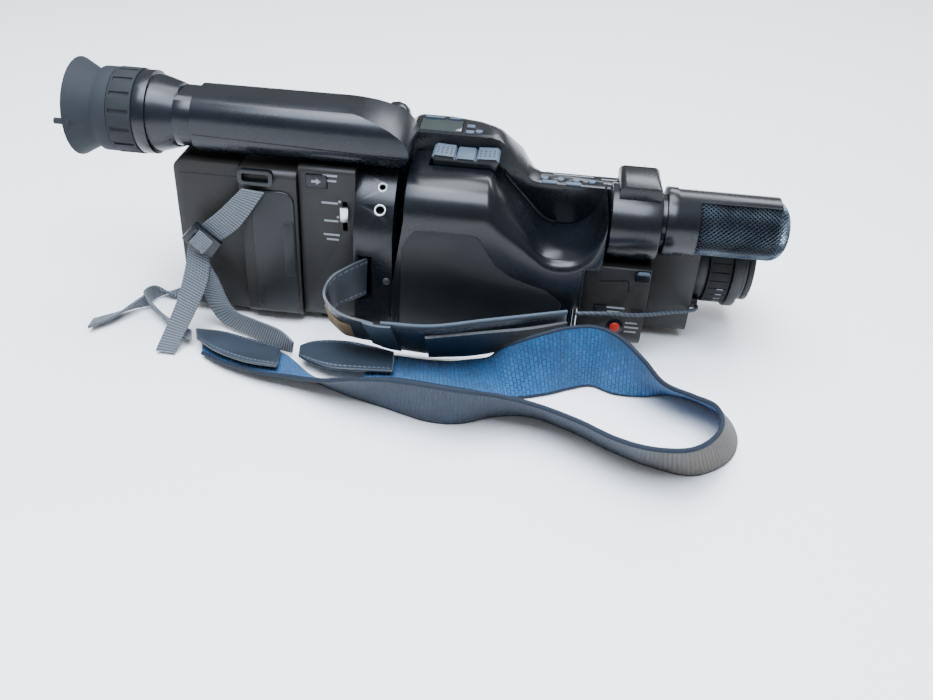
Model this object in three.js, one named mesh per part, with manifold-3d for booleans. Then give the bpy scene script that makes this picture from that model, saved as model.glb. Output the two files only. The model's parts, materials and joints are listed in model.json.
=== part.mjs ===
// A palm-corder style video camera with its battery, hand strap and shoulder strap.
// Millimetres, +Z up, +X towards the lens, -Y the grip side. The origin is the centre
// of the flat base plate, on the surface that the camera stands on.
import * as THREE from 'three';
import { mergeVertices } from 'three/addons/utils/BufferGeometryUtils.js';
import Module from 'manifold-3d';

const wasm = await Module();
wasm.setup();

// ---- driving dimensions -------------------------------------------------------------
const GAP = 0.3;             // clearance between neighbouring pieces
const WALL = 2.4;            // moulded shell thickness
const ROUND = 20;            // sides on small round pieces
const LATHE = 32;            // sides on large turned pieces

// body, from rear to front
const REAR_X = -119.7;       // rear face of the battery unit
const LABEL_X = -91;         // rear edge of the label wall
const JACK_X = -63;          // rear edge of the jack panel
const GRIP_X = -43.6;        // rear edge of the grip cover
const GRIP_FRONT_X = 58;     // front edge of the grip cover, above the step
const PANEL_X = 50.3;        // rear edge of the front side panel
const FRAME_X = 82.7;        // front edge of the covers, where the lens block starts
const LENS_BLOCK_X = 108;    // front face of the lens block

// body, across
const SPLIT_Y = -10.3;       // seam between the grip side and the middle
const LABEL_Y = -43;         // outer face of the label wall
const REAR_Y = -46;          // outer face of the battery unit
const JACK_Y = -52;          // outer face of the jack panel
const GRIP_Y = -54;          // outer face of the grip cover
const PANEL_Y = -48;         // outer face of the front side panel
const LEFT_Y = 38;           // outer face of the cassette side
const DECK_SIDE_Y = 10;      // seam between the middle and the cassette side

// body, heights
const PLATE_T = 3;           // base plate thickness
const SHELL_Z = PLATE_T + GAP;
const BATTERY_Z = 5;         // underside of the battery and its unit
const REAR_TOP_Z = 86;       // top of the battery and its unit
const PLATEAU_Z = 88.5;      // top of the grip side
const RIDGE_RISE = 9;
const RIDGE_Z = PLATEAU_Z + RIDGE_RISE;  // top of the control ridge
const DECK_TOP_Z = 76;       // low flat top behind the lens
const COVER_SPLIT_Z = 72;    // seam between the top cover and the cassette side
const FRONT_SPLIT_Z = 50;    // the same seam ahead of the cassette bay
const SPLIT_X = 14;          // where the seam steps down
const PANEL_Z = 7.5;         // underside of the front side panel
const STEP_Z = 52.6;         // top of the front side panel
const BLOCK_TOP_Z = 61;      // top of the lens block

// base plate and tripod socket
const PLATE_X = [-88, 78];
const PLATE_Y = [-36, 34];
const SOCKET_X = 26;
const SOCKET_R = 6.5;
const SOCKET_BORE_R = 3.2;
const PIN_X = 40;
const PIN_BORE_R = 2.3;

// battery pack
const BATTERY_LENGTH = 33;
const BATTERY_Y = [-42, 5];
const BATTERY_CORNER_R = 5;

// jack holes in the sloping panel: [y, z, radius]
const JACK_TILT = 41;
const JACK_ROW_X = -50.5;
const JACKS = [[-40, 80, 1.25], [-47.5, 71.5, 1.75]];
const JACK_DEPTH = 6;

// hand strap and its fixings
const STRAP_SLOT_X = [-60.4, -54];
const STRAP_SLOT_Z = [23, 48];
const BAR_X = 47.5;
const BAR_Y = -58;
const BAR_R = 1.3;
const BAR_Z = [9, 34];

// zoom rocker
const ROCKER_X = [-29, 4];
const ROCKER_Y = [-27, -12.5];
const ROCKER_DROP = 3.7;       // rocker's underside below the top of the grip side
const ROCKER_Z = PLATEAU_Z - ROCKER_DROP;
const WELL_MARGIN = 1;
const WELL_DEPTH = 8;
const WELL_FLOOR_Z = PLATEAU_Z - WELL_DEPTH;

// cassette side
const DOOR_X = [-88.1, 11.2];
const DOOR_T = 4;
const DOOR_HINGE_Z = 10;
const HOLDER_X = [-87.5, 10.5];
const HOLDER_Y = [15.6, 33];
const HOLDER_Z = [7.2, 69.3];
const HOLDER_WALL = 1.2;
const CHASSIS_Y = 11.6;
const CHASSIS_T = 1.4;
const DRUM_R = 13.3;
const DRUM_X = -38.5;
const DRUM_Z = 50;
const REEL_R = 8;
const REEL_GAP = 44;         // between the two reel spindles
const REEL_Z = 26;

// lens, on the axis y = 0
const LENS_Z = 38;
const BARREL_R = 19;
const BARREL_BORE_R = 16;
const FLANGE_R = 22;
const FOCUS_R = 23.6;
const FOCUS_X = [115, 126.4];
const ZOOM_R = 25;
const ZOOM_X = [126.7, 131.9];
const HOOD_R = 21;
const HOOD_X = [132.2, 134.8];
const CAP_T = 3.2;
const LUG_ANGLE = 52;        // cap-string lug, below the barrel on the grip side
const GLASS_R = 15.6;

// microphone
const MIC_Y = -34;
const MIC_HOLDER_Z = 71;
const MIC_HOLDER_R = 18;
const MIC_HOLDER_X = [59.2, 83];
const MIC_Z = 73;
const MIC_NECK_R = 13;
const MIC_R = 14.8;
const MIC_X = [85.4, 144.4];
const MIC_COLLAR = 15;        // length of the solid collar behind the grille
const SHOE_X = [62, 82];
const SHOE_Y = [-43, -18];
const SHOE_TOP_Z = 93;

// viewfinder
const VF_W = 34;
const VF_SIDE_Y = -10.5;      // face of the tube that lies against its bracket
const VF_Y = VF_SIDE_Y - VF_W / 2;
const VF_RISE = 14.5;         // tube's axis above the top of the grip side
const VF_Z = PLATEAU_Z + VF_RISE;
const VF_CORNER_R = 11;
const VF_H = 28;
const VF_REAR_X = -141;
const PIVOT_X = -49;
const PIVOT_R = 3.2;
const BRACKET_Y = [-9.7, -3.5];
const COLLAR_X = [-150, -141.3];
const NECK_X = [-161.7, -150.3];
const FRONT_RING_X = [-168, -162];
const DIOPTRE_X = [-180, -168.3];
const REAR_RING_X = [-187, -180.3];
const EYECUP_X = [-200, -187.3];
const EYE_R = 20.3;
const EYE_BORE_R = 13;

// carrying strap
const WEBBING_T = 1.2;
const STRAP_T = 2;
const TAB_T = 2.4;

// ---- materials ----------------------------------------------------------------------
const finish = (color, roughness, metalness = 0) =>
  new THREE.MeshStandardMaterial({ color, roughness, metalness });
const blackPlastic = finish(0x1b1c1d, 0.45);
const mattePlastic = finish(0x232527, 0.7);
const satinBlue = finish(0x2c3440, 0.35);
const rubber = finish(0x2a2b2c, 0.85);
const chrome = finish(0xc8cacc, 0.2, 1);
const steel = finish(0x8c8f92, 0.35, 1);
const redPlastic = finish(0xb52a20, 0.4);
const greyKeys = finish(0x6d7f92, 0.5);
const glass = finish(0x10161c, 0.05);
const webbing = finish(0x77818c, 0.9);
const vinyl = finish(0x59646f, 0.6);
const blueWeave = finish(0x1f78c8, 0.85);
const board = finish(0x1f5a36, 0.6);

// ---- solids -------------------------------------------------------------------------
const group = new THREE.Group();

// a geometry as a manifold solid, whichever way its faces were wound
function solid(geometry) {
  const bare = geometry.clone();
  bare.deleteAttribute('normal');
  bare.deleteAttribute('uv');
  const merged = mergeVertices(bare, 1e-4);
  const vertProperties = new Float32Array(merged.attributes.position.array);
  const triVerts = new Uint32Array(merged.index.array);
  const mesh = new wasm.Mesh({ numProp: 3, vertProperties, triVerts });
  const made = new wasm.Manifold(mesh);
  if (made.volume() > 0) return made;
  return new wasm.Manifold(new wasm.Mesh({ numProp: 3, vertProperties, triVerts: triVerts.reverse() }));
}

function add(name, shape, material) {
  const { vertProperties, triVerts } = shape.getMesh();
  const geometry = new THREE.BufferGeometry();
  geometry.setAttribute('position', new THREE.BufferAttribute(new Float32Array(vertProperties), 3));
  geometry.setIndex(new THREE.BufferAttribute(new Uint32Array(triVerts), 1));
  geometry.computeVertexNormals();
  const mesh = new THREE.Mesh(geometry, material);
  mesh.name = name;
  group.add(mesh);
}

const cut = (base, ...tools) => tools.reduce((left, tool) => left.subtract(tool), base);
const join = (base, ...extras) => extras.reduce((whole, extra) => whole.add(extra), base);

function block([x0, x1], [y0, y1], [z0, z1]) {
  const box = new THREE.BoxGeometry(x1 - x0, y1 - y0, z1 - z0);
  return solid(box.translate((x0 + x1) / 2, (y0 + y1) / 2, (z0 + z1) / 2));
}

// outlines are THREE.Shapes or lists of points
const asShape = (outline) =>
  outline instanceof THREE.Shape ? outline : new THREE.Shape(outline.map(([u, v]) => new THREE.Vector2(u, v)));
const extruded = (outline, depth) =>
  new THREE.ExtrudeGeometry(asShape(outline), { depth, bevelEnabled: false, curveSegments: 4 });

// an outline in X and Y, raised from z0 to z1
const prismZ = (outline, z0, z1) => solid(extruded(outline, z1 - z0).translate(0, 0, z0));

// an outline in X and Z, from y0 to y1
const prismY = (outline, y0, y1) =>
  solid(extruded(outline, y1 - y0).rotateX(Math.PI / 2).translate(0, y1, 0));

// an outline in Y and Z, from x0 to x1
function prismX(outline, x0, x1) {
  const turn = new THREE.Matrix4().makeBasis(
    new THREE.Vector3(0, 1, 0), new THREE.Vector3(0, 0, 1), new THREE.Vector3(1, 0, 0));
  return solid(extruded(outline, x1 - x0).applyMatrix4(turn).translate(x0, 0, 0));
}

// a rectangle whose four corners can each have a radius: low-low, high-low, high-high, low-high
function rounded([u0, u1], [v0, v1], r, corners = [1, 1, 1, 1]) {
  const [a, b, c, d] = corners.map((share) => share * r);
  const shape = new THREE.Shape();
  shape.moveTo(u0 + a, v0).lineTo(u1 - b, v0);
  if (b) shape.absarc(u1 - b, v0 + b, b, -Math.PI / 2, 0);
  shape.lineTo(u1, v1 - c);
  if (c) shape.absarc(u1 - c, v1 - c, c, 0, Math.PI / 2);
  shape.lineTo(u0 + d, v1);
  if (d) shape.absarc(u0 + d, v1 - d, d, Math.PI / 2, Math.PI);
  shape.lineTo(u0, v0 + a);
  if (a) shape.absarc(u0 + a, v0 + a, a, Math.PI, 1.5 * Math.PI);
  return shape;
}

// a cylinder along one axis through (a, b) on the other two, in X-Y-Z order
function rod(axis, a, b, radius, from, to, sides = ROUND) {
  const length = to - from;
  const middle = (from + to) / 2;
  const cylinder = new THREE.CylinderGeometry(radius, radius, length, sides);
  if (axis === 'x') return solid(cylinder.rotateZ(Math.PI / 2).translate(middle, a, b));
  if (axis === 'y') return solid(cylinder.translate(a, middle, b));
  return solid(cylinder.rotateX(Math.PI / 2).translate(a, b, middle));
}

// a closed profile of [x, radius] points turned about the X axis through (y, z)
function turned(profile, y, z, sides = LATHE) {
  const points = [...profile, profile[0]].map(([x, r]) => new THREE.Vector2(r, x));
  return solid(new THREE.LatheGeometry(points, sides).rotateZ(-Math.PI / 2).translate(0, y, z));
}

const ringProfile = ([x0, x1], outer, inner) => [[x0, inner], [x0, outer], [x1, outer], [x1, inner]];

// a flat band between two edge curves, given as lists of [x, y, z]
function ribbon(edgeA, edgeB, thickness, steps) {
  const curveA = new THREE.CatmullRomCurve3(edgeA.map((p) => new THREE.Vector3(...p)));
  const curveB = new THREE.CatmullRomCurve3(edgeB.map((p) => new THREE.Vector3(...p)));
  const positions = [];
  for (let i = 0; i <= steps; i += 1) {
    const a = curveA.getPoint(i / steps);
    const b = curveB.getPoint(i / steps);
    const along = curveA.getTangent(i / steps).add(curveB.getTangent(i / steps));
    const normal = b.clone().sub(a).cross(along).normalize().multiplyScalar(thickness / 2);
    for (const [point, side] of [[a, 1], [b, 1], [b, -1], [a, -1]]) {
      positions.push(...point.clone().addScaledVector(normal, side).toArray());
    }
  }
  const index = [];
  for (let i = 0; i < steps; i += 1) {
    for (let k = 0; k < 4; k += 1) {
      const p = 4 * i + k;
      const q = 4 * i + ((k + 1) % 4);
      index.push(p, q, p + 4, q, q + 4, p + 4);
    }
  }
  const last = 4 * steps;
  index.push(0, 2, 1, 0, 3, 2, last, last + 1, last + 2, last, last + 2, last + 3);
  const geometry = new THREE.BufferGeometry();
  geometry.setAttribute('position', new THREE.BufferAttribute(new Float32Array(positions), 3));
  geometry.setIndex(index);
  return solid(geometry);
}

// the value at x on a line of [x, value] points
function lineAt(points, x) {
  const next = points.findIndex(([px]) => px >= x);
  if (next === -1) return points.at(-1)[1];
  if (next === 0) return points[0][1];
  const [[x0, v0], [x1, v1]] = [points[next - 1], points[next]];
  return v0 + ((v1 - v0) * (x - x0)) / (x1 - x0);
}

// a solid between a height function and a flat underside, on a grid of x and y lines
function mound(xs, ys, heightAt, floor) {
  const positions = [];
  for (const upper of [0, 1]) {
    for (const x of xs) for (const y of ys) positions.push(x, y, upper ? heightAt(x, y) : floor);
  }
  const [nx, ny] = [xs.length, ys.length];
  const at = (i, j, upper) => upper * nx * ny + i * ny + j;
  const index = [];
  const quad = (a, b, c, d) => index.push(a, b, c, a, c, d);
  for (let i = 0; i + 1 < nx; i += 1) {
    for (let j = 0; j + 1 < ny; j += 1) {
      quad(at(i, j, 1), at(i + 1, j, 1), at(i + 1, j + 1, 1), at(i, j + 1, 1));
      quad(at(i, j, 0), at(i, j + 1, 0), at(i + 1, j + 1, 0), at(i + 1, j, 0));
    }
    quad(at(i, 0, 0), at(i + 1, 0, 0), at(i + 1, 0, 1), at(i, 0, 1));
    quad(at(i + 1, ny - 1, 0), at(i, ny - 1, 0), at(i, ny - 1, 1), at(i + 1, ny - 1, 1));
  }
  for (let j = 0; j + 1 < ny; j += 1) {
    quad(at(0, j + 1, 0), at(0, j, 0), at(0, j, 1), at(0, j + 1, 1));
    quad(at(nx - 1, j, 0), at(nx - 1, j + 1, 0), at(nx - 1, j + 1, 1), at(nx - 1, j, 1));
  }
  const geometry = new THREE.BufferGeometry();
  geometry.setAttribute('position', new THREE.BufferAttribute(new Float32Array(positions), 3));
  geometry.setIndex(index);
  return solid(geometry);
}

// a round cord along a list of [x, y, z] points
function cord(points, radius, steps) {
  const path = new THREE.CatmullRomCurve3(points.map((p) => new THREE.Vector3(...p)));
  const sides = [...Array(8).keys()].map((k) => (k * Math.PI) / 4);
  const section = asShape(sides.map((angle) => [radius * Math.cos(angle), radius * Math.sin(angle)]));
  return solid(new THREE.ExtrudeGeometry(section, { extrudePath: path, steps, bevelEnabled: false }));
}

// ---- base ---------------------------------------------------------------------------
function makeBase() {
  const plate = prismZ(rounded(PLATE_X, PLATE_Y, 8), 0, PLATE_T);
  const socketHole = rod('z', SOCKET_X, 0, SOCKET_R + GAP, -1, PLATE_T + 1);
  const pinHole = rod('z', PIN_X, 0, PIN_BORE_R, -1, PLATE_T + 1);
  add('base_plate', cut(plate, socketHole, pinHole), mattePlastic);
  const socket = rod('z', SOCKET_X, 0, SOCKET_R, 0.2, PLATE_T);
  add('tripod_socket', cut(socket, rod('z', SOCKET_X, 0, SOCKET_BORE_R, -1, PLATE_T + 1)), steel);
}

// ---- battery and its unit -----------------------------------------------------------
function makeRear() {
  const outer = prismX(rounded([REAR_Y, LEFT_Y - 2], [BATTERY_Z, REAR_TOP_Z], 4), REAR_X, LABEL_X - GAP);
  const inner = prismX(rounded([REAR_Y + WALL, LEFT_Y - 2 - WALL], [BATTERY_Z + WALL, REAR_TOP_Z - WALL], 3),
    REAR_X + WALL, LABEL_X);
  add('rear_cover', cut(outer, inner), blackPlastic);

  const pack = rounded([REAR_X - GAP - BATTERY_LENGTH, REAR_X - GAP], [BATTERY_Z, REAR_TOP_Z],
    BATTERY_CORNER_R, [0.4, 0, 0, 1]);
  add('battery_pack', prismY(pack, ...BATTERY_Y), blackPlastic);
}

// ---- label wall ---------------------------------------------------------------------
const RELEASE_X = [-87, -77];
const RELEASE_Z = [78.5, 85];
const LEVER_X = [-70.5, -66.5];
const LEVER_Z = [60, 72];
const BUTTON_PROUD = 0.9;

function makeLabelWall() {
  const xs = [LABEL_X, JACK_X - GAP];
  const outer = prismX(rounded([LABEL_Y, SPLIT_Y], [SHELL_Z, PLATEAU_Z], 7, [1, 0, 0, 0.4]), ...xs);
  const inner = prismX(rounded([LABEL_Y + WALL, SPLIT_Y + 1], [SHELL_Z + WALL, PLATEAU_Z - WALL], 5, [1, 0, 0, 0.4]),
    xs[0] + WALL, xs[1] - WALL);
  const buttonHole = block([RELEASE_X[0] - GAP, RELEASE_X[1] + GAP], [LABEL_Y - 1, LABEL_Y + WALL + 1],
    [RELEASE_Z[0] - GAP, RELEASE_Z[1] + GAP]);
  const leverSlot = block([LEVER_X[0] + 0.8, LEVER_X[1] - 0.8], [LABEL_Y - 1, LABEL_Y + WALL + 1],
    [LEVER_Z[0] - 4, LEVER_Z[1]]);
  add('label_wall', cut(outer, inner, buttonHole, leverSlot), blackPlastic);
  add('battery_release_button', block(RELEASE_X, [LABEL_Y - BUTTON_PROUD, LABEL_Y + WALL - 0.4], RELEASE_Z),
    mattePlastic);
  const tab = block(LEVER_X, [LABEL_Y - 2.6, LABEL_Y - GAP], [LEVER_Z[0] + 2, LEVER_Z[1] - 2]);
  const stem = block([LEVER_X[0] + 1.2, LEVER_X[1] - 1.2], [LABEL_Y - GAP - 0.1, LABEL_Y + WALL],
    [LEVER_Z[0] + 3, LEVER_Z[1] - 3]);
  add('power_lever', join(tab, stem), chrome);
}

// ---- jack panel ---------------------------------------------------------------------
function jackHole([y, z, radius]) {
  const cylinder = new THREE.CylinderGeometry(radius, radius, 2 * JACK_DEPTH, 16);
  cylinder.rotateX(Math.PI / 2);
  return solid(cylinder.rotateX(THREE.MathUtils.degToRad(JACK_TILT)).translate(JACK_ROW_X, y, z));
}

function makeJackPanel() {
  const crest = [[JACK_Y + 22, PLATEAU_Z], [JACK_Y + 19, PLATEAU_Z - 2.5], [JACK_Y + 12, PLATEAU_Z - 8],
    [JACK_Y + 6, PLATEAU_Z - 14.9], [JACK_Y, PLATEAU_Z - 26.5]];
  const outline = [[SPLIT_Y, SHELL_Z], [SPLIT_Y, PLATEAU_Z], ...crest, [JACK_Y, SHELL_Z + 5],
    [JACK_Y + 5, SHELL_Z]];
  const xs = [JACK_X, GRIP_X - GAP];
  const hollow = block([xs[0] + WALL, xs[1] - WALL], [JACK_Y + 14, SPLIT_Y + 1], [SHELL_Z + WALL, 76]);
  const strapSlot = block(STRAP_SLOT_X, [JACK_Y - 1, JACK_Y + 15], STRAP_SLOT_Z);
  add('jack_panel', cut(prismX(outline, ...xs), hollow, strapSlot, ...JACKS.map(jackHole)), blackPlastic);
}

// ---- grip ---------------------------------------------------------------------------
// The top line of the grip from rear to front: plateau, slope, valley and flare.
const VALLEY_Z = 54.8;
const FLARE_Z = 80;
const GRIP_LINE = [[0, PLATEAU_Z], [2, PLATEAU_Z - 1.4], [5, PLATEAU_Z - 5.8], [8, PLATEAU_Z - 9.8],
  [11.6, PLATEAU_Z - 13.8], [15.2, PLATEAU_Z - 17.6], [18.9, VALLEY_Z + 12.3], [22.4, VALLEY_Z + 8.4],
  [25.7, VALLEY_Z + 4.9], [28.6, VALLEY_Z + 2.4], [31.6, VALLEY_Z + 0.9], [35, VALLEY_Z + 0.1], [39, VALLEY_Z],
  [42.5, VALLEY_Z + 0.5], [45.6, VALLEY_Z + 1.7], [48.6, VALLEY_Z + 3.6], [51.2, VALLEY_Z + 5.9],
  [53.4, VALLEY_Z + 9], [55.2, VALLEY_Z + 13.2], [56.8, VALLEY_Z + 19], [GRIP_FRONT_X, FLARE_Z]];
const SHOULDER_R = 20;
// the shoulder tightens from the grip's plateau to the lip of the valley
const SHOULDER_TAPER = [[-2, SHOULDER_R], [7, 14], [17, 9], [26, 5.5]];
const BUTTON_X = 69;

// the grip's surface: its top line, rounded over a wide shoulder to the side
function gripHeight(x, y) {
  const radius = lineAt(SHOULDER_TAPER, x);
  const past = Math.max(0, GRIP_Y + radius - y);
  return lineAt(GRIP_LINE, x) - radius + Math.sqrt(Math.max(0, radius ** 2 - past ** 2));
}

function makeGrip() {
  const step = STEP_Z + GAP;
  const side = [[GRIP_X, SHELL_Z], [GRIP_X, 35], [-38.5, 70], [-38.5, PLATEAU_Z + 1], [GRIP_FRONT_X, PLATEAU_Z + 1],
    [GRIP_FRONT_X, step], [PANEL_X - GAP, step], [PANEL_X - GAP, SHELL_Z]];
  const across = [[SPLIT_Y, SHELL_Z], [SPLIT_Y, PLATEAU_Z + 1], [GRIP_Y, PLATEAU_Z + 1], [GRIP_Y, SHELL_Z + 6],
    [GRIP_Y + 6, SHELL_Z]];
  const rows = [1, 0.98, 0.93, 0.85, 0.74, 0.61, 0.46, 0.3, 0.14, 0].map((share) => GRIP_Y + SHOULDER_R * (1 - share));
  const columns = GRIP_LINE.map(([x]) => x).slice(0, -1);
  const whole = mound([GRIP_X, -38.5, ...columns, GRIP_FRONT_X], [...rows, SPLIT_Y], gripHeight, SHELL_Z);
  const outer = whole.intersect(prismY(side, GRIP_Y, SPLIT_Y)).intersect(prismX(across, GRIP_X, GRIP_FRONT_X));
  const insideTop = WELL_FLOOR_Z - WALL;
  const under = GRIP_LINE.filter(([x]) => x > 4 && x < 40).map(([x, z]) => [x - WALL / 2, z - 1.5 * WALL]);
  const inside = [[GRIP_X + WALL, SHELL_Z + WALL], [GRIP_X + WALL, 35], [-35, insideTop], [1, insideTop], ...under,
    [46, step - 4], [46, SHELL_Z + WALL]];
  const inner = prismY(inside, GRIP_Y + 8, SPLIT_Y + 1);
  const well = block([ROCKER_X[0] - WELL_MARGIN, ROCKER_X[1] + WELL_MARGIN],
    [ROCKER_Y[0] - WELL_MARGIN, SPLIT_Y + 1], [WELL_FLOOR_Z, PLATEAU_Z + 1]);
  add('grip_cover', cut(outer, inner, well), blackPlastic);
}

function makeRocker() {
  const [x0, x1] = ROCKER_X;
  const mid = (x0 + x1) / 2;
  const outline = [[x0 + 2, ROCKER_Z + 1.5], [mid, ROCKER_Z], [x1 - 2, ROCKER_Z + 1.5], [x1, ROCKER_Z + 7.6],
    [x1 - 1.6, ROCKER_Z + 9], [mid + 5.8, ROCKER_Z + 8.6], [mid + 5.2, ROCKER_Z + 7], [mid + 4.6, ROCKER_Z + 7],
    [mid + 4, ROCKER_Z + 8], [mid - 4, ROCKER_Z + 8], [mid - 4.6, ROCKER_Z + 7], [mid - 5.2, ROCKER_Z + 7],
    [mid - 5.8, ROCKER_Z + 8.6], [x0 + 1.6, ROCKER_Z + 9], [x0, ROCKER_Z + 7.6]];
  add('zoom_rocker', prismY(outline, ...ROCKER_Y), greyKeys);
}

function makeStrapBar() {
  const upright = rod('z', BAR_X, BAR_Y, BAR_R, ...BAR_Z, 14);
  const legs = BAR_Z.map((z, i) => rod('y', BAR_X, z + (i ? -BAR_R : BAR_R), BAR_R, BAR_Y, GRIP_Y - GAP, 14));
  add('strap_bar', join(upright, ...legs), chrome);
}

// ---- front side panel with its two controls -----------------------------------------
const REC_Z = 19;
const REC_R = 2.5;
const SWITCH_X = [57.5, 63.5];
const SWITCH_Z = [27, 30.5];
const SWITCH_TRAVEL = 3;

function makeFrontPanel() {
  const xs = [PANEL_X, FRAME_X];
  const outer = prismX(rounded([PANEL_Y, SPLIT_Y], [PANEL_Z, STEP_Z], 6, [1, 0, 0, 0.2]), ...xs);
  const inner = prismX(rounded([PANEL_Y + WALL, SPLIT_Y + 1], [PANEL_Z + WALL, STEP_Z - WALL], 4, [1, 0, 0, 0.2]),
    xs[0] + WALL, xs[1] - WALL);
  const recHole = rod('y', BUTTON_X, REC_Z, REC_R + GAP, PANEL_Y - 1, PANEL_Y + WALL + 1);
  const slot = block([SWITCH_X[0] - GAP, SWITCH_X[1] + GAP], [PANEL_Y - 1, PANEL_Y + 1],
    [SWITCH_Z[0] - SWITCH_TRAVEL - GAP, SWITCH_Z[1] + GAP]);
  add('front_side_panel', cut(outer, inner, recHole, slot), blackPlastic);
  add('record_button', rod('y', BUTTON_X, REC_Z, REC_R, PANEL_Y - 1.2, PANEL_Y + WALL), redPlastic);
  add('mic_switch', block(SWITCH_X, [PANEL_Y - 0.9, PANEL_Y + 1 - GAP], SWITCH_Z), mattePlastic);
}

// ---- top cover with display and keys ------------------------------------------------
const DISPLAY_X = [-38, -17];
const DISPLAY_Y = [-6, 9];
const KEY_R = 1.9;
const KEY_PROUD = 0.8;
const KEY_XS = [27, 35, 43, 51];
const KEY_Y = -4;
const TOP_KEY_X = -8;

const TOP_LINE = [[-46, PLATEAU_Z], [-43.5, PLATEAU_Z + 5], [-41, RIDGE_Z - 0.8], [-38.5, RIDGE_Z], [-1, RIDGE_Z],
  [3, RIDGE_Z - 0.9], [6, RIDGE_Z - 3], [10, RIDGE_Z - 8], [SPLIT_X, DECK_TOP_Z + 8.6], [18, DECK_TOP_Z + 3.4],
  [21, DECK_TOP_Z + 1], [25, DECK_TOP_Z]];
const SHOULDER_LINE = [[-46, 22], [-41, 12], [-24, 12], [-15, 9.5], [-8, 7], [0, 0], [6, -4], [SPLIT_X, 3], [25, 4.5]];
const LEFT_EDGE_LINE = [[SPLIT_X, COVER_SPLIT_Z + 1.2], [22, FRONT_SPLIT_Z + 11], [FRAME_X, FRONT_SPLIT_Z + 10]];
const CURVE_LINE = [[SPLIT_X - 2, 2], [25, 1]];

// the top falls from its crest, past a shoulder line, to its left edge
function topHeight(x, y) {
  const crest = lineAt(TOP_LINE, x);
  const shoulder = lineAt(SHOULDER_LINE, x);
  const share = Math.max(0, y - shoulder) / (LEFT_Y - shoulder);
  return crest - (crest - lineAt(LEFT_EDGE_LINE, x)) * share ** lineAt(CURVE_LINE, x);
}

function makeTopCover() {
  const rows = [-5.5, 0, 4.5, 7, 9.5, 12, 15, 18, 21, 24, 28, 32];
  const columns = [-46, -43.5, -41, -38.5, -24, -15, -8, -4, -1, 3, 6, 8, 10, SPLIT_X, 18, 21, 25];
  const grid = (inset) => [
    [LABEL_X + GAP + inset, ...columns, FRAME_X - inset],
    [SPLIT_Y + GAP + inset, ...rows, LEFT_Y - inset]];
  const whole = mound(...grid(0), topHeight, FRONT_SPLIT_Z);
  const behind = block([LABEL_X - 1, SPLIT_X], [SPLIT_Y - 1, LEFT_Y + 1], [FRONT_SPLIT_Z - 1, COVER_SPLIT_Z]);
  const outer = cut(whole, behind);
  const inner = mound(...grid(WALL), (x, y) => topHeight(x, y) - 1.35 * WALL, FRONT_SPLIT_Z - 2);
  const windowHole = block([DISPLAY_X[0] - GAP, DISPLAY_X[1] + GAP], [DISPLAY_Y[0] - GAP, DISPLAY_Y[1] + GAP],
    [RIDGE_Z - 1.6, RIDGE_Z + 1]);
  const keyHoles = [
    ...KEY_XS.map((x) => rod('z', x, KEY_Y, KEY_R + GAP, DECK_TOP_Z - WALL - 1, DECK_TOP_Z + 1, 16)),
    rod('z', TOP_KEY_X, KEY_Y, KEY_R + GAP, RIDGE_Z - 4, RIDGE_Z + 1, 16)];
  add('top_cover', cut(outer, inner, windowHole, ...keyHoles), blackPlastic);
  add('display_window', block(DISPLAY_X, DISPLAY_Y, [RIDGE_Z - 1.6 + GAP, RIDGE_Z + 0.1]), glass);
  KEY_XS.forEach((x, i) => add(`control_key_${i + 1}`,
    rod('z', x, KEY_Y, KEY_R, DECK_TOP_Z - WALL + 0.2, DECK_TOP_Z + KEY_PROUD, 16), greyKeys));
  add('display_key', rod('z', TOP_KEY_X, KEY_Y, KEY_R, RIDGE_Z - WALL, RIDGE_Z + KEY_PROUD, 16), greyKeys);
}

// ---- cassette side ------------------------------------------------------------------
function makeLeftCover() {
  const xs = [LABEL_X + GAP, FRAME_X];
  const whole = prismX(rounded([DECK_SIDE_Y, LEFT_Y], [SHELL_Z, COVER_SPLIT_Z - GAP], 6, [0, 1, 0, 0]), ...xs);
  const ahead = block([SPLIT_X - GAP, FRAME_X + 1], [DECK_SIDE_Y - 1, LEFT_Y + 1],
    [FRONT_SPLIT_Z - GAP, COVER_SPLIT_Z + 1]);
  const room = block([SPLIT_X + WALL, FRAME_X - WALL], [DECK_SIDE_Y - 1, LEFT_Y - WALL],
    [SHELL_Z + WALL, FRONT_SPLIT_Z + 1]);
  const doorway = block([DOOR_X[0] - GAP, DOOR_X[1] + GAP], [DECK_SIDE_Y - 1, LEFT_Y + 1],
    [DOOR_HINGE_Z - DOOR_T / 2 - 1.3, COVER_SPLIT_Z + 1]);
  add('left_cover', cut(whole, ahead, room, doorway), blackPlastic);

  const hinge = [LEFT_Y - DOOR_T / 2, DOOR_HINGE_Z];
  const leaf = new THREE.Shape();
  leaf.moveTo(LEFT_Y - DOOR_T, COVER_SPLIT_Z - 0.6).lineTo(LEFT_Y - DOOR_T, hinge[1]);
  leaf.absarc(hinge[0], hinge[1], DOOR_T / 2, Math.PI, 2 * Math.PI);
  leaf.lineTo(LEFT_Y, COVER_SPLIT_Z - 0.6);
  add('cassette_door', prismX(leaf, ...DOOR_X), blackPlastic);
}

function makeHolder() {
  const outer = block(HOLDER_X, HOLDER_Y, HOLDER_Z);
  const pocket = block(HOLDER_X.map((x, i) => x + (i ? -HOLDER_WALL : HOLDER_WALL)),
    HOLDER_Y.map((y, i) => y + (i ? -HOLDER_WALL : HOLDER_WALL)), [HOLDER_Z[0] + HOLDER_WALL, HOLDER_Z[1] + 1]);
  const reelWindow = block([HOLDER_X[0] + 12, HOLDER_X[1] - 12], [HOLDER_Y[0] - 1, HOLDER_Y[0] + 3],
    [HOLDER_Z[0] + 8, HOLDER_Z[1] + 1]);
  add('cassette_holder', cut(outer, pocket, reelWindow), steel);
}

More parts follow.
